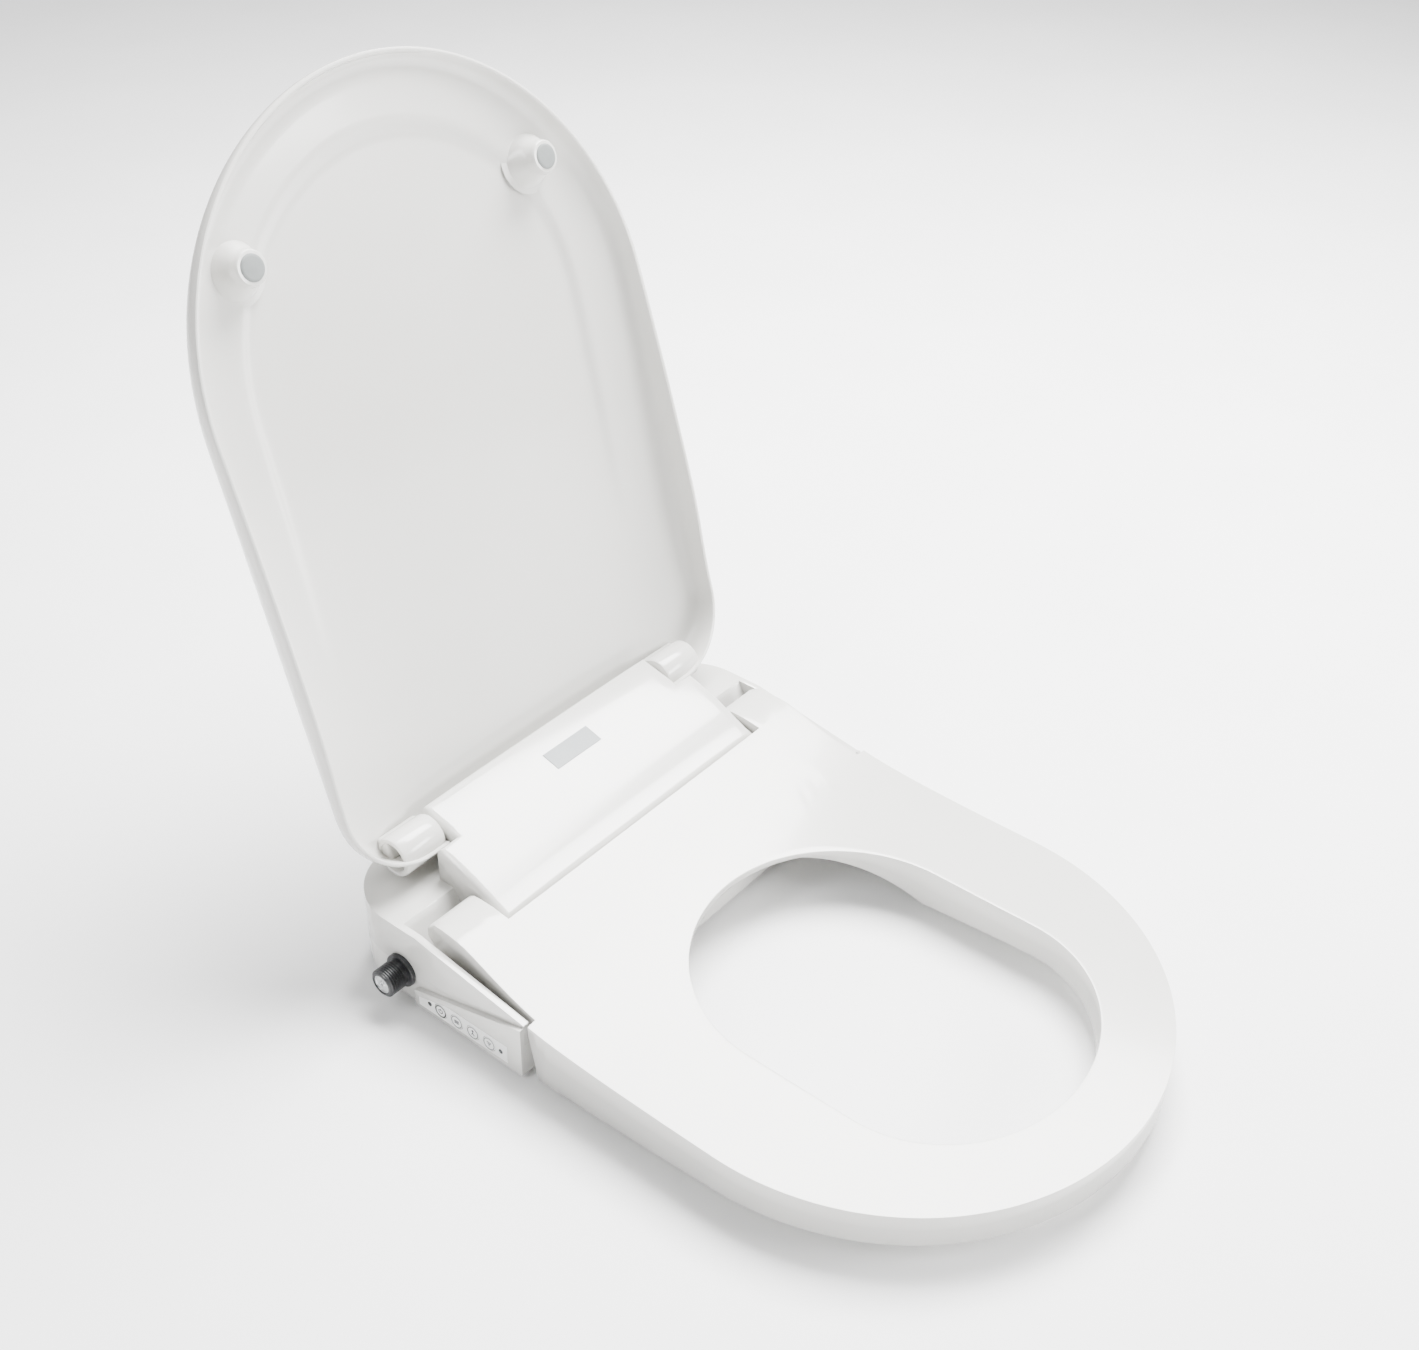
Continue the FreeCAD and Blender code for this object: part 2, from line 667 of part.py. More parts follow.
def rectangle(sketch, wide, deep, wide_formula, deep_formula):
    """A rectangle centred on the sketch's origin, with both sizes from the sheet."""
    corners = [V(-wide / 2, -deep / 2, 0), V(wide / 2, -deep / 2, 0), V(wide / 2, deep / 2, 0),
               V(-wide / 2, deep / 2, 0)]
    for start, end in zip(corners, corners[1:] + corners[:1]):
        sketch.addGeometry(Part.LineSegment(start, end), False)
    for line in range(4):
        sketch.addConstraint(Sketcher.Constraint("Coincident", line, 2, (line + 1) % 4, 1))
    for line in (0, 2):
        sketch.addConstraint(Sketcher.Constraint("Horizontal", line))
    for line in (1, 3):
        sketch.addConstraint(Sketcher.Constraint("Vertical", line))
    sketch.addConstraint(Sketcher.Constraint("Symmetric", 0, 1, 1, 2, -1, 1))
    sketch.setExpression("Constraints[%d]" % sketch.addConstraint(
        Sketcher.Constraint("DistanceX", 0, 1, 0, 2, wide)), formula(wide_formula))
    sketch.setExpression("Constraints[%d]" % sketch.addConstraint(
        Sketcher.Constraint("DistanceY", 1, 1, 1, 2, deep)), formula(deep_formula))


def slot(sketch, centre, length, radius):
    """A long hole along X, set out from the sheet's bolt sizes."""
    first = sketch.GeometryCount
    half_run = length / 2 - radius
    left = V(centre - half_run, 0, 0)
    right = V(centre + half_run, 0, 0)
    sketch.addGeometry(Part.LineSegment(left + V(0, radius, 0), right + V(0, radius, 0)), False)
    sketch.addGeometry(Part.LineSegment(left - V(0, radius, 0), right - V(0, radius, 0)), False)
    turn = math.pi / 2
    sketch.addGeometry(Part.ArcOfCircle(Part.Circle(right, V(0, 0, 1), radius), -turn, turn), False)
    sketch.addGeometry(Part.ArcOfCircle(Part.Circle(left, V(0, 0, 1), radius), turn, 3 * turn), False)
    sketch.addConstraint(Sketcher.Constraint("Tangent", first, 2, first + 2, 2))
    sketch.addConstraint(Sketcher.Constraint("Tangent", first + 1, 2, first + 2, 1))
    sketch.addConstraint(Sketcher.Constraint("Tangent", first, 1, first + 3, 1))
    sketch.addConstraint(Sketcher.Constraint("Tangent", first + 1, 1, first + 3, 2))
    sketch.addConstraint(Sketcher.Constraint("PointOnObject", first + 2, 3, -1))
    sketch.addConstraint(Sketcher.Constraint("PointOnObject", first + 3, 3, -1))
    side = "1" if centre > 0 else "-1"
    for arc, sign in ((first + 2, "+"), (first + 3, "-")):
        value = (right if sign == "+" else left).x
        index = sketch.addConstraint(Sketcher.Constraint("DistanceX", -1, 1, arc, 3, value))
        place_text = "%s * bolt_spacing / 2 %s (bolt_slot / 2 - bolt_radius)" % (side, sign)
        sketch.setExpression("Constraints[%d]" % index, formula(place_text))
    index = sketch.addConstraint(Sketcher.Constraint("Radius", first + 2, radius))
    sketch.setExpression("Constraints[%d]" % index, formula("bolt_radius"))


def mounting_plate():
    """The plate that is bolted to the bowl, with its two long bolt slots."""
    body = doc.addObject("PartDesign::Body", "MountingPlate")
    outline = sketch_on(body, "PlateOutline", "XY_Plane")
    rectangle(outline, size("plate_length"), size("plate_depth"), "plate_length", "plate_depth")
    pad = body.newObject("PartDesign::Pad", "PlatePad")
    pad.Profile = outline
    pad.setExpression("Length", formula("plate_thick"))
    doc.recompute()
    holes = sketch_on(body, "BoltSlots", "XY_Plane")
    for side in (-1, 1):
        slot(holes, side * size("bolt_spacing") / 2, size("bolt_slot"), size("bolt_radius"))
    doc.recompute()
    pocket = body.newObject("PartDesign::Pocket", "SlotPocket")
    pocket.Profile = holes
    pocket.Type = 1
    pocket.Midplane = True
    doc.recompute()
    full = size("plate_length") * size("plate_depth") * size("plate_thick")
    assert body.Shape.Volume < full - 100, "bolt slots not cut"
    return body


node(mounting_plate(), "mounting_plate")


def hooks():
    """Two rails of the plate that the base slides over, and its spring catch."""
    rail_left = block("RailLeft", "6", "plate_depth - 10", "6", "-plate_length / 2", "5 - plate_depth / 2",
                      "plate_thick")
    rail_right = block("RailRight", "6", "plate_depth - 10", "6", "plate_length / 2 - 6", "5 - plate_depth / 2",
                       "plate_thick")
    catch = block("Catch", "24", "3", "tunnel_high - plate_thick - 1", "-12", "plate_depth / 2 - 4",
                  "plate_thick")
    return group("PlateRails", rail_left, rail_right, catch)


node(hooks(), "plate_rails")

feet = []
for index, (x, y) in enumerate(((-150, -85), (150, -85), (-140, 30), (140, 30))):
    feet.append(rod("Foot%d" % index, "10", "base_low", str(x), str(y), "0"))
node(group("BaseFeet", *feet), "base_feet")

button_rows = [-(size("button_first") + size("button_pitch") * step) for step in range(4)]
led_rows = [button_rows[0] + 10.5, button_rows[3] - 10.5]
button_z = size("button_z")
button_r = size("button_radius")
panel_out = half + size("panel_thick")


def wedge(x0, x1, inset):
    """Side panel outline: low at the back, high at the front."""
    aft = -size("panel_back") - inset
    fore = front + inset
    points = [(x0, fore, low + inset), (x0, aft, low + inset), (x0, aft, size("panel_back_z") - inset),
              (x0, fore, size("panel_front_z") - inset)]
    return Part.Face(polygon(points)).extrude(V(x1 - x0, 0, 0))


def side_rods(radius, x0, x1, rows):
    rods = [pin_hole(x0, x1, y, button_z, radius) for y in rows]
    return rods[0].fuse(rods[1:])


LED = 1.8
panel = wedge(-panel_out, -half, 0)
panel = panel.cut(side_rods(button_r + fit_gap, -panel_out - 1, 1 - half, button_rows))
panel = panel.cut(side_rods(LED, -panel_out - 1, 1 - half, led_rows))
label = wedge(-panel_out - 0.25, -panel_out, 4)
label = label.cut(box(-TALL, 0, -TALL, led_rows[1] - 6, 0, TALL))
label = label.cut(box(-TALL, 0, -TALL, 0, button_z + 8, TALL))
label = label.cut(side_rods(button_r + fit_gap, -TALL, 0, button_rows))
label = label.cut(side_rods(LED, -TALL, 0, led_rows))
lenses = Part.Compound([pin_hole(-panel_out - 0.4, 0.5 - half, y, button_z, LED) for y in led_rows])
trim = wedge(half, panel_out, 0)
RELEASE = {"y": -70.0, "z": 18.0, "deep": 26.0, "high": 12.0, "travel": 4.0}


def release_block(x0, x1, grow):
    deep = RELEASE["deep"] / 2 + grow
    high = RELEASE["high"] / 2 + grow
    return box(x0, x1, RELEASE["y"] - deep, RELEASE["y"] + deep, RELEASE["z"] - high, RELEASE["z"] + high)


trim = trim.cut(release_block(half - 1, panel_out + 1, fit_gap))
node(solid_feature("SidePanel", panel), "side_panel")
node(solid_feature("SideTrim", trim), "side_trim")
node(solid_feature("ButtonLabel", label), "button_label")
node(solid_feature("LedLenses", lenses), "led_lenses")
release = release_block(half - wall - 10, panel_out + 0.2, 0)
release = release.fuse(release_block(half - wall - 3, half - wall - fit_gap, 2))
node(solid_feature("ReleaseButton", release), "release_button")

switch_x = -half + wall + 2.2
for name, y in zip(("power", "rear_wash", "front_wash", "dryer"), button_rows):
    cap = pin_hole(-panel_out - 0.5, 1.2 - half, y, button_z, button_r)
    stem = pin_hole(1 - half, switch_x - size("button_travel") - 0.1, y, button_z, 2.5)
    flange = pin_hole(fit_gap - half, 1.2 - half, y, button_z, button_r + 1)
    node(solid_feature("Button" + name.title(), cap.fuse([stem, flange]).removeSplitter()), "button_" + name)

board = box(switch_x + 2.5, switch_x + 4.1, led_rows[1] - 6, led_rows[0] + 6, low + wall, button_z + 9)
switches = [box(switch_x, switch_x + 2.5, y - 3, y + 3, button_z - 3, button_z + 3) for y in button_rows]
node(solid_feature("ButtonBoard", board.fuse(switches)), "button_board")

# pockets of the tray and of the housing for what goes through their side walls
side_slot = box(-half - 1, wall - half + 1, button_rows[3] - 8, button_rows[0] + 8, button_z - 7, button_z + 7)
led_holes = side_rods(LED, -half - 1, wall - half + 1, led_rows)
inlet_y = size("inlet_y")
inlet_z = size("inlet_z")
NECK = 8.5
inlet_hole = pin_hole(-half - 1, wall - half + 1, inlet_y, inlet_z, NECK)
GLAND = {"x": 125.0, "z": 20.0, "radius": 8.0, "lip": 3.0, "bore": 3.5}


def gland_disc(radius, start, end):
    """A disc round the gland's axis, between two distances behind the inside of the back wall."""
    return Part.makeCylinder(radius, end - start, V(GLAND["x"], back - wall + start, GLAND["z"]), V(0, 1, 0))


gland_hole = gland_disc(GLAND["radius"], -1, wall + 1)
gland_seat = gland_disc(GLAND["radius"] + GLAND["lip"], -GLAND["lip"], 0)
tray = tray.cut([side_slot, led_holes, inlet_hole, gland_hole, gland_seat,
                 release_block(half - wall - 1, half + 1, fit_gap)])
housing = housing.cut(inlet_hole)

# ---------------------------------------------------------------- water inlet, valve and heater


def inlet_shape():
    """Spigot with a ringed thread, its flange against the base, its neck through the wall."""
    crest = size("inlet_radius")
    root = crest - 1.16
    pitch = size("thread_pitch")
    outline = [(0, NECK), (wall, NECK), (wall, crest + 2.2), (wall + 3.5, crest + 2.2), (wall + 3.5, root)]
    along = wall + 4.5
    last = wall + size("inlet_length")
    while along + pitch < last:
        outline += [(along, root), (along + pitch * 0.35, crest), (along + pitch * 0.6, crest),
                    (along + pitch * 0.95, root)]
        along += pitch
    outline += [(last, root), (last, 7.0), (0, 7.0)]
    face = Part.Face(polygon([(x, radius, 0) for x, radius in outline]))
    shape = face.revolve(V(0, 0, 0), V(1, 0, 0), 360)
    shape.rotate(V(0, 0, 0), V(0, 0, 1), 180)
    shape.translate(V(wall - half, inlet_y, inlet_z))
    return shape


valve_x0 = wall - half
valve_x1 = valve_x0 + 33
valve = box(valve_x0, valve_x1, inlet_y - 11, inlet_y + 15, 14, deck - wall - 1)
PLUNGER = 4.0
valve = valve.cut(pin_hole(valve_x1 - 8, valve_x1 + 1, inlet_y, inlet_z, PLUNGER + size("run_gap")))
coil = pin_hole(valve_x1, valve_x1 + 26, inlet_y, inlet_z, 10.0)
coil = coil.cut(pin_hole(valve_x1 - 1, valve_x1 + 22, inlet_y, inlet_z, PLUNGER + size("run_gap")))
plunger = pin_hole(valve_x1 - 5, valve_x1 + 18, inlet_y, inlet_z, PLUNGER)
node(solid_feature("WaterInlet", inlet_shape()), "water_inlet")
node(solid_feature("InletFilter", pin_hole(-half - 19.5, -half - 9, inlet_y, inlet_z, 7.0)), "inlet_filter")
node(solid_feature("InletValve", valve), "inlet_valve")
node(solid_feature("ValveCoil", coil), "valve_coil")
node(solid_feature("ValvePlunger", plunger), "valve_plunger")

roof = size("tunnel_high") + wall
node(block("WaterHeater", "46", "68", "seat_axis_z - tunnel_high - wall - 10.5", "-82", "-34",
           "tunnel_high + wall"), "water_heater")


def tube(points, radius, bend):
    """Round hose along straight runs joined by arcs of one radius."""
    corners = [V(*point) for point in points]
    edges = []
    start = corners[0]
    for before, corner, after in zip(corners, corners[1:], corners[2:]):
        incoming = (corner - before).normalize()
        outgoing = (after - corner).normalize()
        half_turn = incoming.getAngle(outgoing) / 2
        reach = bend * math.tan(half_turn)
        first = corner - incoming * reach
        last = corner + outgoing * reach
        inward = (outgoing - incoming).normalize()
        middle = corner + inward * (bend / math.cos(half_turn) - bend)
        edges += [Part.makeLine(start, first), Part.Arc(first, middle, last).toShape()]
        start = last
    edges.append(Part.makeLine(start, corners[-1]))
    path = Part.Wire(edges)
    ring = Part.Wire(Part.makeCircle(radius, corners[0], corners[1] - corners[0]))
    return path.makePipeShell([ring], True, False)


hose_x = valve_x0 + 18.5
supply = tube([(hose_x, inlet_y + 15, 29), (hose_x, 47, 29), (-60, 47, 29), (-60, 34, 29)], 4.0, 9.0)
node(solid_feature("SupplyHose", supply), "supply_hose")

# ---------------------------------------------------------------- wash nozzle
slope = math.radians(size("nozzle_slope"))
AIM = V(0, -math.cos(slope), -math.sin(slope))
port = V(nozzle_x, front, size("door_top_z") - 21.5)
tip = port - AIM * size("nozzle_behind")
nozzle_r = size("nozzle_radius")
nozzle_len = size("nozzle_length")
pitch_r = size("pinion_radius")
teeth = int(size("pinion_teeth"))
module = 2 * pitch_r / teeth
ADD = 0.8 * module
DED = 1.1 * module
rack_line = nozzle_r + 3


def along_nozzle(shape):
    """Carry a shape from nozzle terms (X back along it from its tip, Z up) into place."""
    shape = shape.copy()
    shape.rotate(V(0, 0, 0), V(0, 0, 1), 90)
    shape.rotate(V(0, 0, 0), V(1, 0, 0), size("nozzle_slope"))
    shape.translate(tip)
    return shape


contact = 62.0
pitch = math.pi * module
RACK_DEEP = 2.5


def rack_teeth():
    """Trapezoid teeth on the nozzle's side, one centred beside the pinion."""
    first = contact - pitch * 2
    count = int((nozzle_len - 2 - first) / pitch) + 1
    shapes = []
    for step in range(count):
        x = first + step * pitch
        foot = 0.30 * pitch
        crest = 0.11 * pitch
        points = [(x - foot, -rack_line + DED + 0.5, 0), (x + foot, -rack_line + DED + 0.5, 0),
                  (x + crest, -rack_line - ADD, 0), (x - crest, -rack_line - ADD, 0)]
        tooth = Part.Face(polygon(points)).extrude(V(0, 0, 2 * RACK_DEEP))
        tooth.translate(V(0, 0, -RACK_DEEP))
        shapes.append(tooth)
    return shapes


def nozzle_shape():
    """Nozzle tube with its rack along the side, from the tip piece to the back end."""
    body = pin_hole(8, nozzle_len, 0, 0, nozzle_r)
    rail_start = contact - pitch * 2 - 1
    rail = box(rail_start, nozzle_len, -rack_line + DED, -nozzle_r + 1.5, -RACK_DEEP, RACK_DEEP)
    return along_nozzle(body.fuse([rail] + rack_teeth()).removeSplitter())


def tip_shape():
    """Front of the nozzle with its spray recess on top."""
    shape = pin_hole(0, 8, 0, 0, nozzle_r)
    shape = shape.cut(box(2, 6, -2, 2, nozzle_r - 1, nozzle_r + 1))
    return along_nozzle(shape)


def gear(radius, count, deep, bore):
    """Spur gear about Z, centred on z = 0, with a gap on +Y."""
    points = []
    turn = 2 * math.pi / count
    root = radius - DED
    crown = radius + ADD
    for step in range(count):
        middle = (step + 0.5) * turn
        for radius_here, share in ((root, -0.31), (crown, -0.10), (crown, 0.10), (root, 0.31)):
            angle = middle + share * turn
            points.append((radius_here * math.sin(angle), radius_here * math.cos(angle), -deep))
    wheel = Part.Face(polygon(points)).extrude(V(0, 0, 2 * deep))
    return wheel.cut(Part.makeCylinder(bore, 4 * deep, V(0, 0, -2 * deep)))


SHAFT = 2.0
MOTOR = 9.5
POST = 4.0
pinion_line = -(rack_line + pitch_r)
pinion = gear(pitch_r, teeth, RACK_DEEP, SHAFT + size("run_gap"))
pinion.translate(V(contact, pinion_line, 0))
node(solid_feature("WashNozzle", nozzle_shape()), "wash_nozzle")
node(solid_feature("NozzleTip", tip_shape()), "nozzle_tip")
node(solid_feature("NozzlePinion", along_nozzle(pinion)), "nozzle_pinion")


def motor_shape():
    """Geared motor above the pinion, on a post from the roof of the plate recess."""
    body = Part.makeCylinder(MOTOR, 17, V(contact, pinion_line, RACK_DEEP + 1))
    shaft = Part.makeCylinder(SHAFT, 2 * RACK_DEEP + 3, V(contact, pinion_line, -RACK_DEEP - 1))
    head = along_nozzle(body.fuse(shaft))
    middle = head.BoundBox.Center
    post_y = middle.y + pitch_r + ADD + 3.7
    post = box(nozzle_x + 10, nozzle_x + 20, post_y, post_y + POST, roof, middle.z + POST)
    link = box(nozzle_x + 10, nozzle_x + 20, middle.y, post_y + POST, middle.z, middle.z + POST)
    return head.fuse([post, link]).removeSplitter()


node(solid_feature("NozzleMotor", motor_shape()), "nozzle_motor")


def guide_shape():
    """Cradle that the nozzle slides in, on two pairs of legs from the tray."""
    cradle = box(26, 110, -4, nozzle_r + 3, -nozzle_r - 3, -1)
    shapes = [along_nozzle(cradle)]
    for at in (32.0, 100.0):
        foot = tip - AIM * at
        floor = low + wall if foot.y < -size("plate_depth") / 2 - 10 else roof
        shapes.append(box(nozzle_x - nozzle_r - 2, nozzle_x + 3, foot.y - 4, foot.y + 4, floor,
                          foot.z - nozzle_r))
    shape = shapes[0].fuse(shapes[1:]).removeSplitter()
    return shape.cut(along_nozzle(pin_hole(-20, 160, 0, 0, nozzle_r + fit_gap)))


node(solid_feature("NozzleGuide", guide_shape()), "nozzle_guide")

# ---------------------------------------------------------------- small doors of the front wall
HINGE_BACK = 1.5
DOOR_THICK = 2.4
DOOR_PIN = 0.9
door_z = size("door_top_z")
hinge_y = front + HINGE_BACK


def door_shape(centre, wide, high):
    """A flap hung on two short pins at its top edge."""
    flap = box(centre - wide / 2, centre + wide / 2, front, front + DOOR_THICK, door_z - high, door_z)
    eye = pin_hole(centre - wide / 2, centre + wide / 2, hinge_y, door_z, HINGE_BACK)
    pin = pin_hole(centre - wide / 2 - 1.6, centre + wide / 2 + 1.6, hinge_y, door_z, DOOR_PIN)
    return flap.fuse([eye, pin]).removeSplitter(), pin


for name, centre, wide, high in (("nozzle_door", nozzle_x, size("nozzle_door_wide"), size("door_high")),
                                 ("dryer_door", size("dryer_x"), size("dryer_door_wide"),
                                  size("dryer_door_high"))):
    flap, pin = door_shape(centre, wide, high)
    node(solid_feature(name.title().replace("_", ""), flap), name)
    hole = pin_hole(centre - wide / 2 - 1.8, centre + wide / 2 + 1.8, hinge_y, door_z,
                    DOOR_PIN + size("run_gap"))
    housing = housing.cut(hole)

# ---------------------------------------------------------------- warm air dryer
fan_r = size("fan_radius")
dry_x = size("dryer_x")
fan_y = 4.0
fan_z = roof + fan_r + 4.5
house_x0 = dry_x - 12
house_x1 = dry_x + 16
duct_top = deck - wall - 0.5
duct_low = duct_top - 17
duct_half = 15.0


def dryer_housing():
    """Round fan case, open on its motor side, with its outlet duct to the front wall."""
    case = pin_hole(house_x0, house_x1, fan_y, fan_z, fan_r + 4.5)
    duct = box(dry_x - duct_half, dry_x + duct_half, front + wall + 1, fan_y, duct_low, duct_top)
    shape = case.fuse(duct)
    shape = shape.cut(box(dry_x - duct_half + 2, dry_x + duct_half - 2, front, fan_y, duct_low + 2, duct_top - 2))
    shape = shape.cut(pin_hole(house_x0 + 2, house_x1 + 1, fan_y, fan_z, fan_r + 2.5))
    return shape.removeSplitter()


def fan_shape():
    """Squirrel cage: a back disc, a hub and a ring of blades."""
    x0 = house_x0 + 3.5
    depth = 20.0
    hub = pin_hole(x0, x0 + depth - 3, fan_y, fan_z, 6.0)
    disc = pin_hole(x0, x0 + 1.6, fan_y, fan_z, fan_r)
    rim = pin_hole(x0 + depth - 2, x0 + depth, fan_y, fan_z, fan_r)
    rim = rim.cut(pin_hole(x0, x0 + depth + 1, fan_y, fan_z, fan_r - 5))
    blades = []
    for step in range(int(size("fan_blades"))):
        blade = box(x0 + 1, x0 + depth - 1, fan_y - 0.6, fan_y + 0.6, fan_z + fan_r - 5.5, fan_z + fan_r - 0.5)
        blade.rotate(V(0, fan_y, fan_z), V(1, 0, 0), 360.0 * step / size("fan_blades"))
        blades.append(blade)
    shape = hub.fuse([disc, rim] + blades)
    return shape.cut(pin_hole(x0 - 1, x0 + depth + 1, fan_y, fan_z, SHAFT + size("run_gap")))


node(solid_feature("DryerHousing", dryer_housing()), "dryer_housing")
node(solid_feature("DryerFan", fan_shape()), "dryer_fan")
dryer_motor = pin_hole(house_x1, house_x1 + 3, fan_y, fan_z, fan_r + 4.5)
dryer_motor = dryer_motor.fuse([pin_hole(house_x1, house_x1 + 26, fan_y, fan_z, 14.0),
                                pin_hole(house_x0 + 5, house_x1, fan_y, fan_z, SHAFT)])
node(solid_feature("DryerMotor", dryer_motor.removeSplitter()), "dryer_motor")
grid = box(dry_x - duct_half + 2, dry_x + duct_half - 2, -82, -62, duct_low + 2, duct_top - 2)
for step in range(5):
    x = dry_x - 10.4 + step * 4.6
    grid = grid.cut(box(x, x + 2.4, -90, -50, duct_low + 4, duct_top - 4))
node(solid_feature("DryerHeater", grid), "dryer_heater")

# ---------------------------------------------------------------- electronics and mains
node(block("ControlBoard", "82", "50", "1.6", "-162", "-98", "base_low + wall + 8"), "control_board")
posts = [rod("BoardPost%d" % index, "2.5", "8", str(x), str(y), "base_low + wall")
         for index, (x, y) in enumerate(((-157, -93), (-85, -93), (-157, -53), (-85, -53)))]
chips = [block("Chip%d" % index, str(wide), str(deep), str(high), str(x), str(y), "base_low + wall + 9.6")
         for index, (x, y, wide, deep, high) in enumerate(((-150, -90, 14, 14, 2), (-128, -88, 22, 16, 14),
                                                          (-100, -90, 12, 30, 10), (-150, -66, 30, 12, 9)))]
node(group("BoardPosts", *posts), "board_posts")
node(group("BoardParts", *chips), "board_components")
node(block("PowerSupply", "80", "42", "26", "82", "-90", "base_low + wall"), "power_supply")
gland = gland_disc(GLAND["radius"], 0, wall)
gland = gland.fuse([gland_seat, gland_disc(GLAND["radius"] + 1, wall, wall + 1.5)])
gland = gland.cut(gland_disc(GLAND["bore"], -10, 10))
node(solid_feature("MainsGland", gland.removeSplitter()), "mains_gland")
node(solid_feature("SensorBoard", sensor_block(-3, 1.6, -SENSOR["thick"] - 1.6)), "sensor_board")
cover = cover.cut(sensor_block(-3, 8, -SENSOR["thick"] - 8))

# ---------------------------------------------------------------- soft-close dampers and their bracket
LID_DAMPER = hump_back - wall - lid_y - 0.5
SEAT_DAMPER = 9.0
bracket_x0 = hump_rear - 16
bracket_x1 = bracket_x0 + 5.5


def damper(radius, outer, inner, y, z, hole_from, hole_radius):
    body = pin_hole(inner, outer, y, z, radius)
    return body.cut(pin_hole(hole_from - 0.5, outer + 1, y, z, hole_radius + size("run_gap")))


lid_damper = damper(LID_DAMPER, hump_rear - wall, hump_rear - 38, lid_y, lid_z, hump_rear - 22,
                    size("lid_pin_radius"))
seat_damper = damper(SEAT_DAMPER, hump_half - wall, hump_half - 36, seat_y, seat_z, hump_half - 20,
                     size("seat_pin_radius"))
column = box(bracket_x0, bracket_x1, seat_y - 12, lid_y - 6, low + wall, seat_z)
arm = Part.Face(polygon([(bracket_x0, seat_y - 12, seat_z), (bracket_x0, lid_y - 6, seat_z),
                         (bracket_x0, lid_y + LID_DAMPER - 0.5, seat_z + 12),
                         (bracket_x0, lid_y + LID_DAMPER - 0.5, lid_z),
                         (bracket_x0, lid_y - 12, lid_z + 4), (bracket_x0, seat_y - 12, seat_z + 8)]))
bracket = column.fuse(arm.extrude(V(bracket_x1 - bracket_x0, 0, 0)))
bracket = bracket.cut([pin_hole(0, 200, lid_y, lid_z, LID_DAMPER), pin_hole(0, 200, seat_y, seat_z, SEAT_DAMPER)])
tunnel_side = box(0, size("plate_length") / 2 + 3 + wall, -TALL, TALL, 0, roof)
bracket = bracket.cut(tunnel_side).removeSplitter()
node(solid_feature("LidDampers", Part.Compound(both_sides(lid_damper))), "lid_dampers")
node(solid_feature("SeatDampers", Part.Compound(both_sides(seat_damper))), "seat_dampers")
node(solid_feature("HingeBrackets", Part.Compound(both_sides(bracket))), "hinge_brackets")

# ---------------------------------------------------------------- housing screws in their bosses
SCREW = 1.5
SCREW_HEAD = 3.5
screws = []
for x, y in ((half - wall - 11.5, -94), (60, -96), (150, 32)):
    top = deck - wall if y < 0 else rim_back - wall
    shank = Part.makeCylinder(SCREW, top - 2 - low, V(x, y, low))
    head = Part.makeCylinder(SCREW_HEAD, 2.4, V(x, y, low))
    lower = Part.makeCylinder(5, split - low - 0.5, V(x, y, low + 0.5))
    upper = Part.makeCylinder(5, top - split + 0.5, V(x, y, split))
    for side, low_boss, high_boss in zip(both_sides(shank.fuse(head)), both_sides(lower), both_sides(upper)):
        tray = tray.fuse(low_boss).cut(side)
        housing = housing.fuse(high_boss).cut(side)
        screws.append(side.removeSplitter())
node(solid_feature("HousingScrews", Part.Compound(screws)), "housing_screws")

nozzle_end = tip - AIM * nozzle_len
wash_hose = tube([(-50, 34, 24), (-50, 44, 24), (nozzle_x, 44, 24), (nozzle_x, 44, nozzle_end.z + 3)], 3.0, 7.0)
node(solid_feature("WashHose", wash_hose), "wash_hose")

doc.getObject("BaseTray").Shape = tray.removeSplitter()
doc.getObject("UpperHousing").Shape = housing.removeSplitter()
doc.getObject("TopCover").Shape = cover.removeSplitter()

# ---------------------------------------------------------------- check and write
doc.recompute()
bad = [item.Name for item in doc.Objects if {"Invalid", "Error"} & set(item.State)]
bad += [item.Label for item in NODES if item.Shape.isNull() or not item.Shape.isValid()]
if bad:
    raise RuntimeError("failed: " + ", ".join(bad))
os.makedirs("parts", exist_ok=True)
for item in NODES:
    item.Shape.exportStep("parts/%s.step" % item.Label)
print(len(NODES), "nodes written")
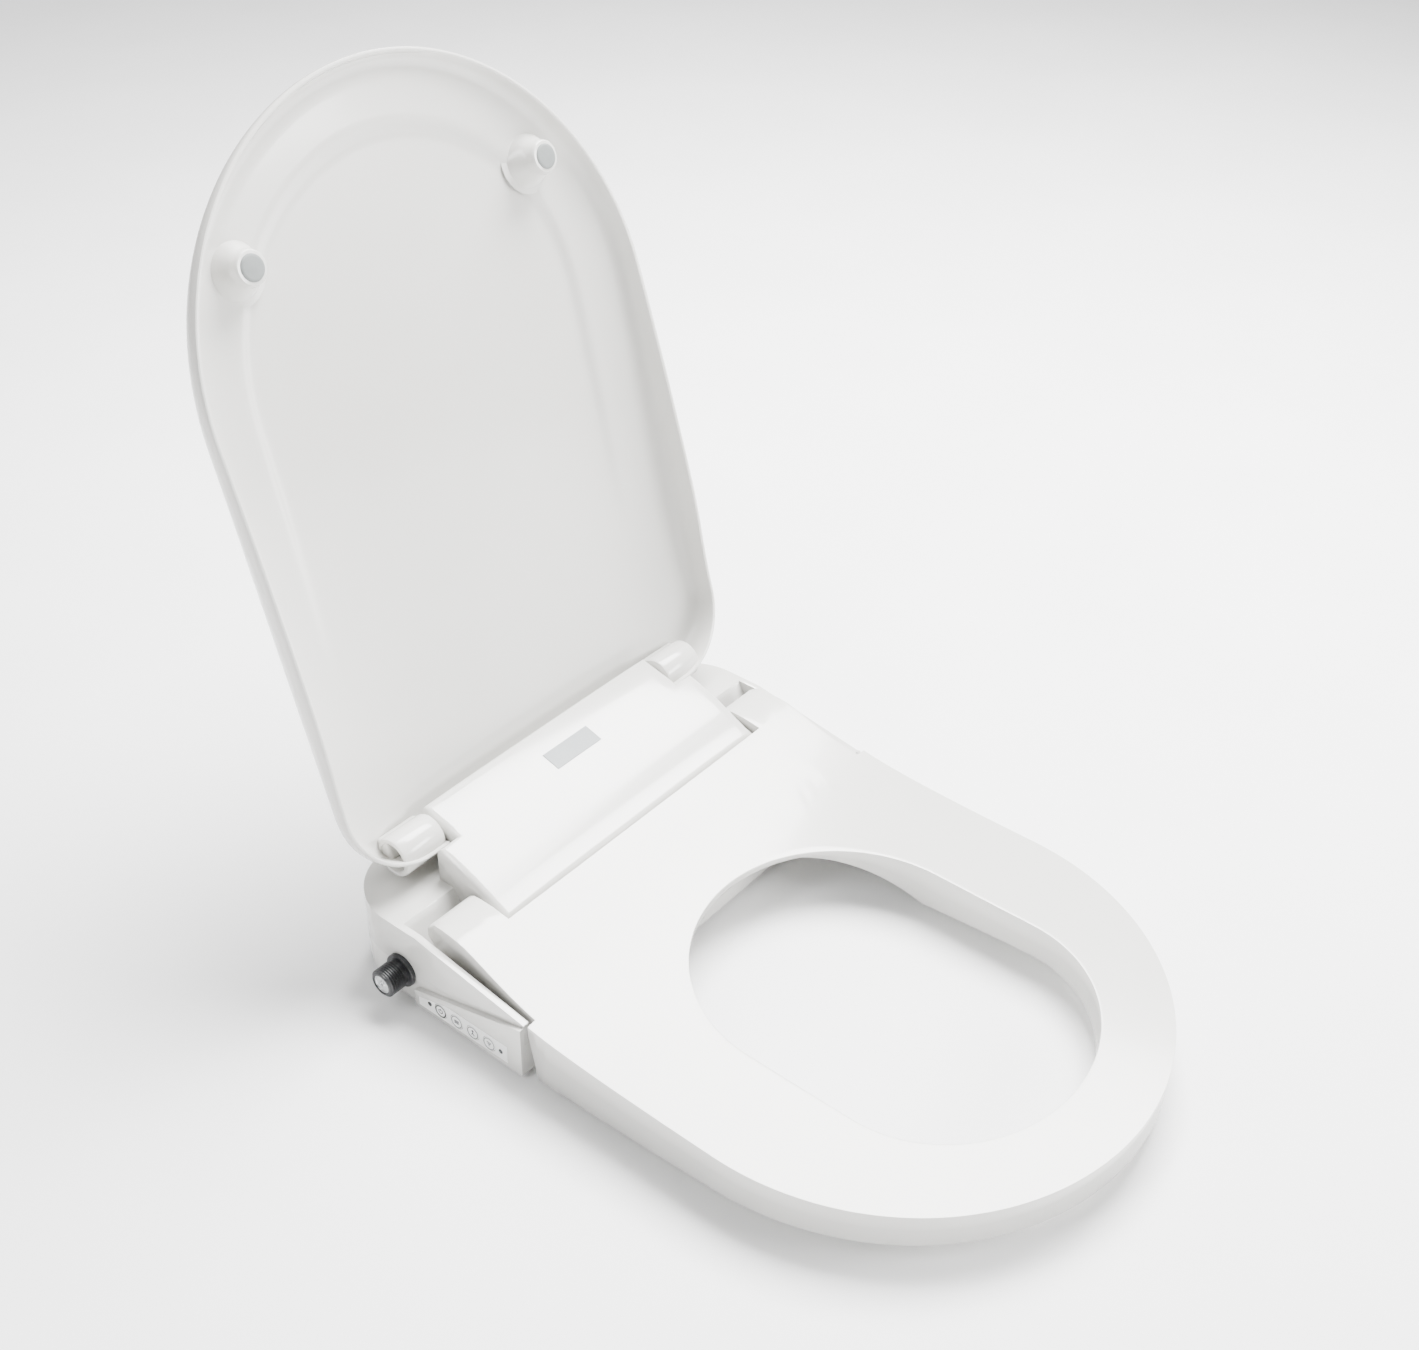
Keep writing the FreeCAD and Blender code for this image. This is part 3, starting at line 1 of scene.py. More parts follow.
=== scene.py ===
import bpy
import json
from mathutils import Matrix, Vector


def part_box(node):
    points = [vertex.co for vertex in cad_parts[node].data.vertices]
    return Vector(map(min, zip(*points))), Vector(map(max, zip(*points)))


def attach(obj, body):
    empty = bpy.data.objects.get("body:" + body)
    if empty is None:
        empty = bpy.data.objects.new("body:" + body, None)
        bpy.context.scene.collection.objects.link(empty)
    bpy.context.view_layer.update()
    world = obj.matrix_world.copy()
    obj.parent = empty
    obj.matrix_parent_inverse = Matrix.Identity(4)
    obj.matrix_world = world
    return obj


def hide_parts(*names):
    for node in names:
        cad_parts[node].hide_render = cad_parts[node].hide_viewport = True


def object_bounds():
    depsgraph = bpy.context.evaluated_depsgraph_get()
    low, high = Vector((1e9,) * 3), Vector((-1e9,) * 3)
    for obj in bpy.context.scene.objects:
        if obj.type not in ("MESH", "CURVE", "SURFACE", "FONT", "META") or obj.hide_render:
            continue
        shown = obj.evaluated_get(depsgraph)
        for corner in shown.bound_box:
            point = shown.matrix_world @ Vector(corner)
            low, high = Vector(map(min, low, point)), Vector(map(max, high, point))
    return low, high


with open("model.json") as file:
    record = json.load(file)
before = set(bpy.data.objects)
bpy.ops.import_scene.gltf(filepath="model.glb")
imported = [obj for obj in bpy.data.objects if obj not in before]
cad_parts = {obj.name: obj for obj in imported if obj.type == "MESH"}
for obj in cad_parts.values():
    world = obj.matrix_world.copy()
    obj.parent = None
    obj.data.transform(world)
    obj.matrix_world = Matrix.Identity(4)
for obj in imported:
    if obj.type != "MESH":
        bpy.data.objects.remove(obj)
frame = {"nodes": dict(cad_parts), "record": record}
CAD_BOX = [list(corner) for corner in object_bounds()]

import json
import math

import bmesh
import bpy
from mathutils import Matrix, Vector

# Electric bidet seat.  Shapes are worked out in millimetres in the frame's own axes and
# turned to metres when each mesh is made.  +Z is up, -Y the front, -X the button side.
MM = 0.001
JOINTS = {joint["name"]: joint for joint in frame["record"]["behaviour"]["joints"]}


def corners(node):
    """Lowest and highest corner of a CAD node, in millimetres."""
    low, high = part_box(node)
    return Vector(low) / MM, Vector(high) / MM


# ---------------------------------------------------------------- colours, nodes and materials
def linear(code):
    """An sRGB hex colour as the linear colour that the shader takes."""
    parts = [int(code[i:i + 2], 16) / 255 for i in (0, 2, 4)]
    return tuple(c / 12.92 if c <= 0.04045 else ((c + 0.055) / 1.055) ** 2.4 for c in parts) + (1.0,)


def add_node(tree, kind, settings=None, **links):
    """Adds one shader node: settings go to its attributes or sockets, links come from other sockets."""
    made = tree.nodes.new(kind)
    for name, value in (settings or {}).items():
        if name in made.inputs:
            made.inputs[name].default_value = value
        else:
            setattr(made, name, value)
    for name, source in links.items():
        tree.links.new(source, made.inputs[name.replace("_", " ")])
    return made


def finish(name, body, grain=None, shade=None):
    """A named material: shader settings, an optional bump grain and an optional colour drift.

    grain is (size in mm, height in mm) and shade is (hex colour, size in mm, share)."""
    material = bpy.data.materials.new(name)
    material.use_nodes = True
    tree = material.node_tree
    shader = tree.nodes["Principled BSDF"]
    for socket, value in body.items():
        shader.inputs[socket].default_value = linear(value) if isinstance(value, str) else value
    place = add_node(tree, "ShaderNodeTexCoord").outputs["Object"]
    if grain:
        size, height = grain
        noise = add_node(tree, "ShaderNodeTexNoise", {"Scale": 1 / (size * MM), "Detail": 2.0}, Vector=place)
        bump = add_node(tree, "ShaderNodeBump", {"Strength": 1.0, "Distance": height * MM},
                        Height=noise.outputs["Fac"])
        tree.links.new(bump.outputs["Normal"], shader.inputs["Normal"])
    if shade:
        colour, size, share = shade
        drift = add_node(tree, "ShaderNodeTexNoise", {"Scale": 1 / (size * MM), "Detail": 3.0}, Vector=place)
        mix = add_node(tree, "ShaderNodeMix", {"data_type": "RGBA"})
        ramp = add_node(tree, "ShaderNodeMapRange", {"From Min": 0.35, "From Max": 0.7, "To Max": share},
                        Value=drift.outputs["Fac"])
        tree.links.new(ramp.outputs["Result"], mix.inputs["Factor"])
        mix.inputs["A"].default_value = linear(body["Base Color"])
        mix.inputs["B"].default_value = linear(colour)
        tree.links.new(mix.outputs["Result"], shader.inputs["Base Color"])
    return material


# injection moulded ABS from a polished tool: a wet gloss with the faintest waviness
GLOSS_ABS = finish("moulded_abs_gloss", {"Base Color": "D0CFCB", "Roughness": 0.15, "IOR": 1.54,
                                         "Coat Weight": 0.35, "Coat Roughness": 0.05},
                   grain=(9.0, 0.010), shade=("CBCAC6", 60.0, 0.5))
# the seat and the lid are polypropylene, a touch warmer and softer in its gloss
GLOSS_PP = finish("moulded_pp_gloss", {"Base Color": "D4D3CF", "Roughness": 0.17, "IOR": 1.50,
                                       "Coat Weight": 0.3, "Coat Roughness": 0.07},
                  grain=(12.0, 0.012), shade=("CFCECA", 80.0, 0.5))
# printed polyester film over the buttons: smoother and a little brighter than the panel
LABEL_FILM = finish("polyester_film", {"Base Color": "EAEAE9", "Roughness": 0.28, "IOR": 1.57},
                    grain=(1.2, 0.003), shade=("E5E5E4", 20.0, 0.4))
# grey ink of the printed marks, matt beside the film
MARK_INK = finish("grey_print_ink", {"Base Color": "5A5D60", "Roughness": 0.5}, shade=("505356", 3.0, 0.4))
DARK_INK = finish("dark_print_ink", {"Base Color": "232527", "Roughness": 0.5}, shade=("2B2D2F", 3.0, 0.4))
# smoked polycarbonate in front of the seat sensor: grey, satin
SENSOR_PC = finish("smoked_polycarbonate", {"Base Color": "6F7576", "Roughness": 0.4, "IOR": 1.58},
                   grain=(0.8, 0.004), shade=("676D6E", 12.0, 0.5))
# moulded thermoplastic rubber pads: dull and fine grained
GREY_RUBBER = finish("grey_moulded_rubber", {"Base Color": "7E8281", "Roughness": 0.62, "IOR": 1.5},
                     grain=(0.5, 0.02), shade=("747877", 6.0, 0.6))
WHITE_RUBBER = finish("white_moulded_rubber", {"Base Color": "D9D9D6", "Roughness": 0.6, "IOR": 1.5},
                      grain=(0.5, 0.02), shade=("CFCFCC", 8.0, 0.6))
# glass filled nylon: near black with a rough, fibrous sheen
BLACK_NYLON = finish("glass_filled_nylon", {"Base Color": "17181A", "Roughness": 0.42, "IOR": 1.53},
                     grain=(0.6, 0.03), shade=("232427", 4.0, 0.7))
# turned and passivated stainless steel
STEEL = finish("stainless_steel", {"Base Color": "C3C5C6", "Metallic": 1.0, "Roughness": 0.3},
               grain=(0.5, 0.006), shade=("B4B6B8", 9.0, 0.6))
# enamelled winding wire and heater coils
COPPER = finish("enamelled_copper", {"Base Color": "B0673A", "Metallic": 1.0, "Roughness": 0.35},
                grain=(0.6, 0.05), shade=("94522B", 3.0, 0.7))
FOIL = finish("aluminium_foil", {"Base Color": "C9CACB", "Metallic": 1.0, "Roughness": 0.38},
              grain=(5.0, 0.15), shade=("B9BABB", 15.0, 0.5))
# solder mask over glass epoxy laminate
LAMINATE = finish("glass_epoxy_board", {"Base Color": "1D5A37", "Roughness": 0.35, "IOR": 1.5},
                  grain=(0.7, 0.01), shade=("184C2E", 5.0, 0.8))
# uncoloured polypropylene of the hidden mouldings: waxy, slightly cloudy
NATURAL_PP = finish("natural_pp", {"Base Color": "D4D3CC", "Roughness": 0.45, "IOR": 1.49},
                    grain=(1.5, 0.02), shade=("C8C7BF", 25.0, 0.6))
SILICONE = finish("silicone_hose", {"Base Color": "DCDBD4", "Roughness": 0.5, "IOR": 1.41},
                  grain=(2.0, 0.02), shade=("D0CFC7", 12.0, 0.6))
# tinted lens over the two indicator lamps
LAMP_LENS = finish("tinted_lamp_lens", {"Base Color": "2C2F30", "Roughness": 0.25, "IOR": 1.49},
                   grain=(0.5, 0.004), shade=("232627", 2.0, 0.5))

BY_SLOT = {"white_abs": GLOSS_ABS, "white_pp": GLOSS_PP, "grey_window": SENSOR_PC, "label_film": LABEL_FILM,
           "black_plastic": BLACK_NYLON, "steel": STEEL, "rubber_grey": GREY_RUBBER,
           "rubber_white": WHITE_RUBBER,
           "board": LAMINATE, "foil": FOIL, "inner_plastic": NATURAL_PP, "hose": SILICONE, "copper": COPPER,
           "lens": LAMP_LENS}
SLOT_OF = {part["node"]: part["material_slot"] for part in frame["record"]["subparts"]}
BODY_OF = {node: body for body, nodes in frame["record"]["behaviour"]["bodies"].items() for node in nodes}

for label, thing in frame["nodes"].items():
    thing.data.materials.clear()
    thing.data.materials.append(BY_SLOT[SLOT_OF[label]])


# ---------------------------------------------------------------- making pieces
def piece(name, bm, stands_for=(), body=None, material=None, slot=None, smooth=35, turn=None):
    """Finishes a bmesh as an object that rides on its body and replaces its CAD nodes."""
    first = stands_for[0] if stands_for else None
    if turn:
        bmesh.ops.transform(bm, matrix=turn, verts=bm.verts)
    bmesh.ops.scale(bm, vec=(MM, MM, MM), verts=bm.verts)
    mesh = bpy.data.meshes.new(name)
    bm.to_mesh(mesh)
    bm.free()
    mesh.shade_smooth()
    if smooth:
        mesh.set_sharp_from_angle(angle=math.radians(smooth))
    thing = bpy.data.objects.new(name, mesh)
    bpy.context.collection.objects.link(thing)
    slot = slot or SLOT_OF[first]
    mesh.materials.append(material or BY_SLOT[slot])
    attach(thing, body or BODY_OF[first])
    if stands_for:
        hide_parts(*stands_for)
    return thing


def clean(bm, gap=0.01):
    """Merges doubled corners and turns every face outwards."""
    bmesh.ops.remove_doubles(bm, verts=bm.verts, dist=gap)
    bmesh.ops.recalc_face_normals(bm, faces=bm.faces)


def first_ring(bm, points):
    """A closed ring of edges through the points."""
    ring = bmesh.ops.create_circle(bm, segments=len(points), radius=1.0)["verts"]
    for vert, point in zip(ring, points):
        vert.co = point
    return ring


def next_ring(bm, ring, points):
    """Extrudes the ring and lays the new one through the points, station by station."""
    edges = [bm.edges.get((a, b)) for a, b in zip(ring, ring[1:] + ring[:1])]
    made = bmesh.ops.extrude_edge_only(bm, edges=edges)["geom"]
    fresh = {item for item in made if isinstance(item, bmesh.types.BMVert)}
    following = [next(edge.other_vert(vert) for edge in vert.link_edges if edge.other_vert(vert) in fresh)
                 for vert in ring]
    for vert, point in zip(following, points):
        vert.co = point
    return following


def skin(bm, rings):
    """A surface through rings of points that share their stations."""
    ring = first_ring(bm, rings[0])
    for points in rings[1:]:
        ring = next_ring(bm, ring, points)


def arc(x, y, radius, start, end, count):
    """Points along an arc in plan, without its last one."""
    turns = [start + (end - start) * step / count for step in range(count)]
    return [Vector((x + radius * math.cos(math.radians(a)), y + radius * math.sin(math.radians(a)), 0))
            for a in turns]


def run(start, end, count):
    """Points along a straight line in plan, without its last one."""
    return [Vector((*start, 0)).lerp(Vector((*end, 0)), step / count) for step in range(count)]


def eased(points, at):
    """Smooth line through (place, height) points, level with its ends outside them."""
    at = min(max(at, points[0][0]), points[-1][0])
    spot = next(i for i in range(1, len(points)) if at <= points[i][0])
    slopes = []
    for i in (spot - 1, spot):
        low, high = max(i - 1, 0), min(i + 1, len(points) - 1)
        slopes.append((points[high][1] - points[low][1]) / (points[high][0] - points[low][0]))
    (x0, z0), (x1, z1) = points[spot - 1], points[spot]
    wide = x1 - x0
    t = (at - x0) / wide
    return (z0 * (1 + 2 * t) * (1 - t) ** 2 + slopes[0] * wide * t * (1 - t) ** 2
            + z1 * t * t * (3 - 2 * t) + slopes[1] * wide * t * t * (t - 1))


def step_between(low, high, at):
    """0 below low, 1 above high, smooth between."""
    t = min(max((at - low) / (high - low), 0.0), 1.0)
    return t * t * (3 - 2 * t)


def rounded_box(bm, low, high, radius):
    """A block with all its edges rounded."""
    made = bmesh.ops.create_cube(bm, size=1.0)["verts"]
    low, high = Vector(low), Vector(high)
    for vert in made:
        vert.co = Vector([a + (b - a) * (c + 0.5) for a, b, c in zip(low, high, vert.co)])
    edges = {edge for vert in made for edge in vert.link_edges}
    bmesh.ops.bevel(bm, geom=list(edges), offset=radius, segments=3, profile=0.5, affect="EDGES", material=-1)


def turned(bm, outline, origin, axis, steps=48):
    """Spins an outline of (along, radius) points about an axis through the origin, closed all round."""
    axis = Vector(axis)
    side = axis.orthogonal().normalized()
    verts = [bm.verts.new(Vector(origin) + axis * along + side * radius) for along, radius in outline]
    edges = [bm.edges.new(pair) for pair in zip(verts, verts[1:])]
    bmesh.ops.spin(bm, geom=verts + edges, cent=origin, axis=axis, angle=2 * math.pi, steps=steps,
                   use_merge=True, use_duplicate=False)
    clean(bm)


# ---------------------------------------------------------------- seat
seat_low, seat_high = corners("seat_top")
SEAT_HALF = seat_high.x
SEAT_REACH = -seat_low.y
RING_CENTRE = SEAT_HALF - SEAT_REACH
cover_low, cover_high = corners("top_cover")
NOTCH_HALF = cover_high.x + 2.0
NOTCH_Y = cover_low.y - 2.0
seat_axis = Vector(JOINTS["seat_hinge"]["pos_m"]) / MM
NOSE = seat_high.y - seat_axis.y
RING_BACK = -112.0
ARM_HALF = 174.0
SHOULDER_HALF = 179.5
RING_STEP = 0.3
HOLE_HALF = 110.0
BRIDGE_Z = 43.0
HEEL_SIDE = 6.0
HEEL_START = RING_BACK - 32.0
HEEL_END = RING_BACK - 120.0
HEEL_LOW = 6.0
SEAT_EDGE = 4.5
HOLE_BACK = (-230.0, 105.0)
HOLE_FRONT = (-310.0, 95.0)
SEAT_TOP = [(-451.0, 41.5), (-320.0, 42.7), (-200.0, 43.9), (-132.0, 47.7), (-92.0, 55.0), (-48.5, 69.5),
            (-38.0, 71.4), (-20.0, 72.0)]
SEAT_LOW = [(-451.0, 17.0), (-300.0, 15.3), (-190.0, 8.8), (-112.0, 6.0)]


def seat_height(x, y):
    """Top of the seat: level across, rising towards the back and round at the arms' ends."""
    if y > seat_axis.y:
        return seat_axis.z + math.sqrt(max(NOSE ** 2 - (y - seat_axis.y) ** 2, 0.0))
    return eased(SEAT_TOP, y)


def hole_radius(direction):
    """Distance from the ring's centre to the edge of the opening."""
    near, far = 0.0, 200.0
    for _ in range(40):
        middle = (near + far) / 2
        x, y = direction.x * middle, RING_CENTRE + direction.y * middle
        centre, length = HOLE_BACK if y > HOLE_BACK[0] else HOLE_FRONT
        over = max(0.0, (y - centre) if y > HOLE_BACK[0] else (centre - y))
        if (x / HOLE_HALF) ** 2 + (over / length) ** 2 < 1:
            near = middle
        else:
            far = middle
    return near


def seat_outline():
    """The seat from above, anticlockwise from its left side, before the notch is cut."""
    back = seat_axis.y + NOSE - 0.6
    points = arc(0, RING_CENTRE, SEAT_HALF, 180, 360, 96)
    points += run((SEAT_HALF, RING_CENTRE), (SEAT_HALF, RING_BACK - RING_STEP), 20)
    points += run((SEAT_HALF, RING_BACK - RING_STEP), (SHOULDER_HALF, RING_BACK + RING_STEP), 3)
    points += run((SHOULDER_HALF, RING_BACK + RING_STEP), (ARM_HALF, back), 14)
    points += run((ARM_HALF, back), (-ARM_HALF, back), 44)
    points += run((-ARM_HALF, back), (-SHOULDER_HALF, RING_BACK + RING_STEP), 14)
    points += run((-SHOULDER_HALF, RING_BACK + RING_STEP), (-SEAT_HALF, RING_BACK - RING_STEP), 3)
    return points + run((-SEAT_HALF, RING_BACK - RING_STEP), (-SEAT_HALF, RING_CENTRE), 20)


def seat_shell():
    """Moulded top of the seat: ring, arms and side walls with rounded top edges, open underneath."""
    bm = bmesh.new()
    outer = seat_outline()
    inner = []
    for point in outer:
        direction = (point - Vector((0, RING_CENTRE, 0))).normalized()
        inner.append(Vector((0, RING_CENTRE, 0)) + direction * hole_radius(direction))
    shares = [0, 0.01, 0.025, 0.05, 0.1, 0.18, 0.27, 0.36, 0.45, 0.55, 0.65, 0.75, 0.84, 0.91, 0.96, 1.0]
    rings = []
    for share in shares:
        ring = [a.lerp(b, share) for a, b in zip(outer, inner)]
        rings.append([Vector((p.x, p.y, seat_height(p.x, p.y))) for p in ring])
    skin(bm, rings)
    for co, no in (((NOTCH_HALF, 0, 0), (1, 0, 0)), ((-NOTCH_HALF, 0, 0), (1, 0, 0)),
                   ((0, NOTCH_Y, 0), (0, 1, 0)), ((0, RING_BACK, 0), (0, 1, 0))):
        bmesh.ops.bisect_plane(bm, geom=bm.verts[:] + bm.edges[:] + bm.faces[:], plane_co=co, plane_no=no)
    gone = [face for face in bm.faces
            if abs(face.calc_center_median().x) < NOTCH_HALF and face.calc_center_median().y > NOTCH_Y]
    bmesh.ops.delete(bm, geom=gone, context="FACES")
    rim = [edge for edge in bm.edges if edge.is_boundary]
    made = bmesh.ops.extrude_edge_only(bm, edges=rim)["geom"]
    for vert in [item for item in made if isinstance(item, bmesh.types.BMVert)]:
        vert.co.z = wall_foot(vert.co.x, vert.co.y)
    bmesh.ops.recalc_face_normals(bm, faces=bm.faces)
    bmesh.ops.bevel(bm, geom=rim, offset=SEAT_EDGE, segments=5, profile=0.5, affect="EDGES", material=-1,
                    clamp_overlap=True)
    return bm


def wall_foot(x, y):
    """Lower edge of the seat's walls, over the base from the arms to the ring's back."""
    if y > RING_BACK - 0.5:
        drop = (y - RING_BACK) / (seat_axis.y - RING_BACK)
        foot = BRIDGE_Z + max(drop, 0.0) * (seat_axis.z - NOSE - BRIDGE_Z)
        if y > seat_axis.y:
            foot = seat_axis.z - math.sqrt(max(NOSE ** 2 - (y - seat_axis.y) ** 2, 0.0))
        return foot
    foot = eased(SEAT_LOW, y)
    if abs(x) < HOLE_HALF + HEEL_SIDE:
        slope = min((y - HEEL_END) / (HEEL_START - HEEL_END), 1)
        foot = max(foot, BRIDGE_Z * slope + HEEL_LOW * (1 - slope))
    return foot


def thicken(thing, wall):
    """Gives an open skin its moulded wall, inwards."""
    thick = thing.modifiers.new("wall", "SOLIDIFY")
    thick.thickness = wall * MM
    thick.offset = -1


thicken(piece("seat_top_skin", seat_shell(), ["seat_top"], material=GLOSS_PP), 2.6)

# ---------------------------------------------------------------- lid
lid_axis = Vector(JOINTS["lid_hinge"]["pos_m"]) / MM
OPEN = math.radians(JOINTS["lid_hinge"]["range_deg"][0])
STAND_UP = (Matrix.Translation(lid_axis) @ Matrix.Rotation(OPEN, 4, "X") @ Matrix.Translation(-lid_axis))
LID_HALF = SEAT_HALF + 3.5
LID_BACK = 49.0
LID_CORNER = 55.0
LID_TOP = [(-454.5, 61.0), (-260.0, 81.0), (-60.0, 103.5), (49.0, 110.5)]
LID_DOME = [(-454.5, 2.0), (-260.0, 10.0), (-60.0, 19.0), (49.0, 21.0)]
LID_RIM = [(-454.5, 47.5), (-250.0, 49.5), (-90.0, 57.5), (-10.0, 67.4), (49.0, 68.0)]
SPINE = (RING_CENTRE, LID_BACK - LID_CORNER)
MOUTH_HALF = 119.5
MOUTH_Y = 34.0
MOUTH_Z = 103.0
LID_WALL = 3.0
LID_SHOULDER = (12.0, 20.0)
LID_FILLET = 9.0


def lid_outline():
    """The closed lid from above, anticlockwise from its left side."""
    points = arc(0, RING_CENTRE, LID_HALF, 180, 360, 96)
    points += run((LID_HALF, RING_CENTRE), (LID_HALF, LID_BACK - LID_CORNER), 30)
    points += arc(LID_HALF - LID_CORNER, LID_BACK - LID_CORNER, LID_CORNER, 0, 90, 14)
    points += run((LID_HALF - LID_CORNER, LID_BACK), (LID_CORNER - LID_HALF, LID_BACK), 24)
    points += arc(LID_CORNER - LID_HALF, LID_BACK - LID_CORNER, LID_CORNER, 90, 180, 14)
    return points + run((-LID_HALF, LID_BACK - LID_CORNER), (-LID_HALF, RING_CENTRE), 30)


def towards_spine(point, away):
    """The point moved in from the edge by so many millimetres, towards the lid's middle line."""
    foot = Vector((0, min(max(point.y, SPINE[0]), SPINE[1] - 60), 0))
    reach = (foot - point).length
    return point.lerp(foot, min(away / reach, 1.0))


def lid_crown(x, y):
    """Outside of the closed lid, falling away towards its sides."""
    return eased(LID_TOP, y) - eased(LID_DOME, y) * (x / LID_HALF) ** 4


def lid_ceiling(x, y, away):
    """Inner face of the closed lid: a border band, then a shallow step up to the middle panel."""
    front = 1 - step_between(-230, -60, y)
    band = 3.4 * front * (1 - step_between(42, 52, away))
    return lid_crown(x, y) - LID_WALL - band


def lid_shape():
    """Closed shell of the lid: outer crown, rounded lip, inner wall and ceiling."""
    bm = bmesh.new()
    outline = lid_outline()
    rings = []

    def ring(away, height):
        points = [towards_spine(p, away) for p in outline]
        rings.append([Vector((p.x, p.y, height(p.x, p.y))) for p in points])

    def lip(x, y):
        return eased(LID_RIM, y)

    def shoulder(x, y, angle):
        deep = min(0.8 * (lid_crown(x, y) - lip(x, y)), LID_SHOULDER[1])
        return lid_crown(x, y) - deep * (1 - math.sin(angle))

    for away in (400, 150, 110, 75, 45, 25, 16):
        ring(away, lid_crown)
    for turn in (90, 76, 62, 48, 36, 24, 12, 0):
        angle = math.radians(turn)
        ring(LID_SHOULDER[0] * (1 - math.cos(angle)), lambda x, y: shoulder(x, y, angle))
    ring(0, lambda x, y: lip(x, y) + 1.4)
    for away, lift in ((0.4, 0.4), (1.4, 0), (2.0, 0), (3.0, 0.5), (3.4, 1.5)):
        ring(away, lambda x, y: lip(x, y) + lift)
    for turn in (0, 18, 36, 54, 72, 90):
        angle = math.radians(turn)
        away = 3.6 + LID_FILLET * (1 - math.cos(angle))
        ring(away, lambda x, y: max(lip(x, y) + 1.8,
                                    lid_ceiling(x, y, away) - LID_FILLET * (1 - math.sin(angle))))
    for away in (20, 30, 38, 42, 44.5, 47, 49.5, 52, 56, 66, 80, 100, 125, 150, 400):
        ring(away, lambda x, y: lid_ceiling(x, y, away))
    skin(bm, rings)
    clean(bm, 0.02)
    open_mouth(bm)
    return bm


def open_mouth(bm):
    """Opens the lid's back wall where the top cover stands in it when the lid is closed."""
    for co, no in (((MOUTH_HALF, 0, 0), (1, 0, 0)), ((-MOUTH_HALF, 0, 0), (1, 0, 0)),
                   ((0, 0, MOUTH_Z), (0, 0, 1))):
        near = [face for face in bm.faces if face.calc_center_median().y > MOUTH_Y - 20]
        edges = {edge for face in near for edge in face.edges}
        verts = {vert for face in near for vert in face.verts}
        bmesh.ops.bisect_plane(bm, geom=[*verts, *edges, *near], plane_co=co, plane_no=no)
    gone = []
    for face in bm.faces:
        middle = face.calc_center_median()
        if abs(middle.x) < MOUTH_HALF and middle.y > MOUTH_Y and middle.z < MOUTH_Z:
            gone.append(face)
    bmesh.ops.delete(bm, geom=gone, context="FACES")
    rim = [edge for edge in bm.edges if edge.is_boundary
           and all(abs(vert.co.z - MOUTH_Z) < 0.01 for vert in edge.verts)]
    bmesh.ops.bridge_loops(bm, edges=rim)
    bmesh.ops.holes_fill(bm, edges=[edge for edge in bm.edges if edge.is_boundary], sides=0)
    bmesh.ops.recalc_face_normals(bm, faces=bm.faces)


piece("lid_moulding", lid_shape(), ["lid_shell"], material=GLOSS_PP, turn=STAND_UP)

# the two bosses that carry the buffers flare out of the ceiling
PAD_HALF = 127.0
PAD_Y = -357.0
PAD_Z = 44.0
for side, name in ((-1, "left"), (1, "right")):
    bm = bmesh.new()
    ceiling = lid_ceiling(PAD_HALF, PAD_Y, 30) + 1.5
    flare = [(0, 8.2), (0.2, 10.3), (0.9, 11.0), (2.0, 11.3), (5.0, 11.6), (8.0, 12.4), (10.0, 14.2),
             (ceiling - PAD_Z - 1.2, 19.0), (ceiling - PAD_Z, 23.0)]
    turned(bm, flare, (side * PAD_HALF, PAD_Y, PAD_Z + 1.0), (0, 0, 1))
    piece("buffer_boss_" + name, bm, body="lid", slot="white_pp", material=GLOSS_PP, turn=STAND_UP)
bm = bmesh.new()
for side in (-1, 1):
    pad = bmesh.new()
    turned(pad, [(6, 0.01), (6, 8.6), (1.2, 8.6), (0.5, 8.3), (0.1, 7.6), (0, 6.5), (0, 0.01)],
           (side * PAD_HALF, PAD_Y, PAD_Z), (0, 0, 1))
    part = bpy.data.meshes.new("pad")
    pad.to_mesh(part)
    pad.free()
    bm.from_mesh(part)
    bpy.data.meshes.remove(part)
piece("buffer_pads", bm, ["lid_buffers"], turn=STAND_UP)

# hinge barrels: round, hollow at their outer ends, blended into the lid by a web
LUG = 15.0
LUG_IN = 119.5
LUG_OUT = 156.5
for side, name in ((-1, "left"), (1, "right")):
    bm = bmesh.new()
    barrel = [(0, 0.01), (0, 5.2), (0, LUG - 2.5), (0.7, LUG - 0.8), (2.4, LUG), (34.6, LUG),
              (36.3, LUG - 0.7), (37, LUG - 2.2), (36.6, LUG - 3.6), (35, LUG - 4.4), (28, LUG - 4.6),
              (27, LUG - 5.6), (26.8, 0.01)]
    turned(bm, barrel, (side * LUG_IN, lid_axis.y, lid_axis.z), (side, 0, 0))
    piece("hinge_barrel_" + name, bm, body="lid", slot="white_pp", material=GLOSS_PP, turn=STAND_UP)
    bm = bmesh.new()
    edge = sorted((side * LUG_IN, side * LUG_OUT))
    rounded_box(bm, (edge[0] + 1, lid_axis.y - LUG + 2.4, lid_axis.z + 2),
                (edge[1] - 1, lid_axis.y + 3, lid_crown(LUG_OUT, lid_axis.y) - 2.0), 2.0)
    piece("hinge_web_" + name, bm, body="lid", slot="white_pp", material=GLOSS_PP, turn=STAND_UP)

# ---------------------------------------------------------------- top cover
COVER_TOP = [(-46.5, 66.5), (-39.5, 69.0), (-10.0, 83.5), (20.0, 94.0), (52.0, 102.0)]
STEP_Y = 19.0
STEP_HALF = 118.0
COVER_COLUMNS = 27
COVER_ROWS = 12
COVER_EDGE = 5.0
COVER_FOOT = 39.2
COVER_FOOT_BACK = 64.2


def cover_height(x, y):
    """Top of the cover, crowned a little across."""
    return eased(COVER_TOP, y) - 1.6 * (x / cover_high.x) ** 4


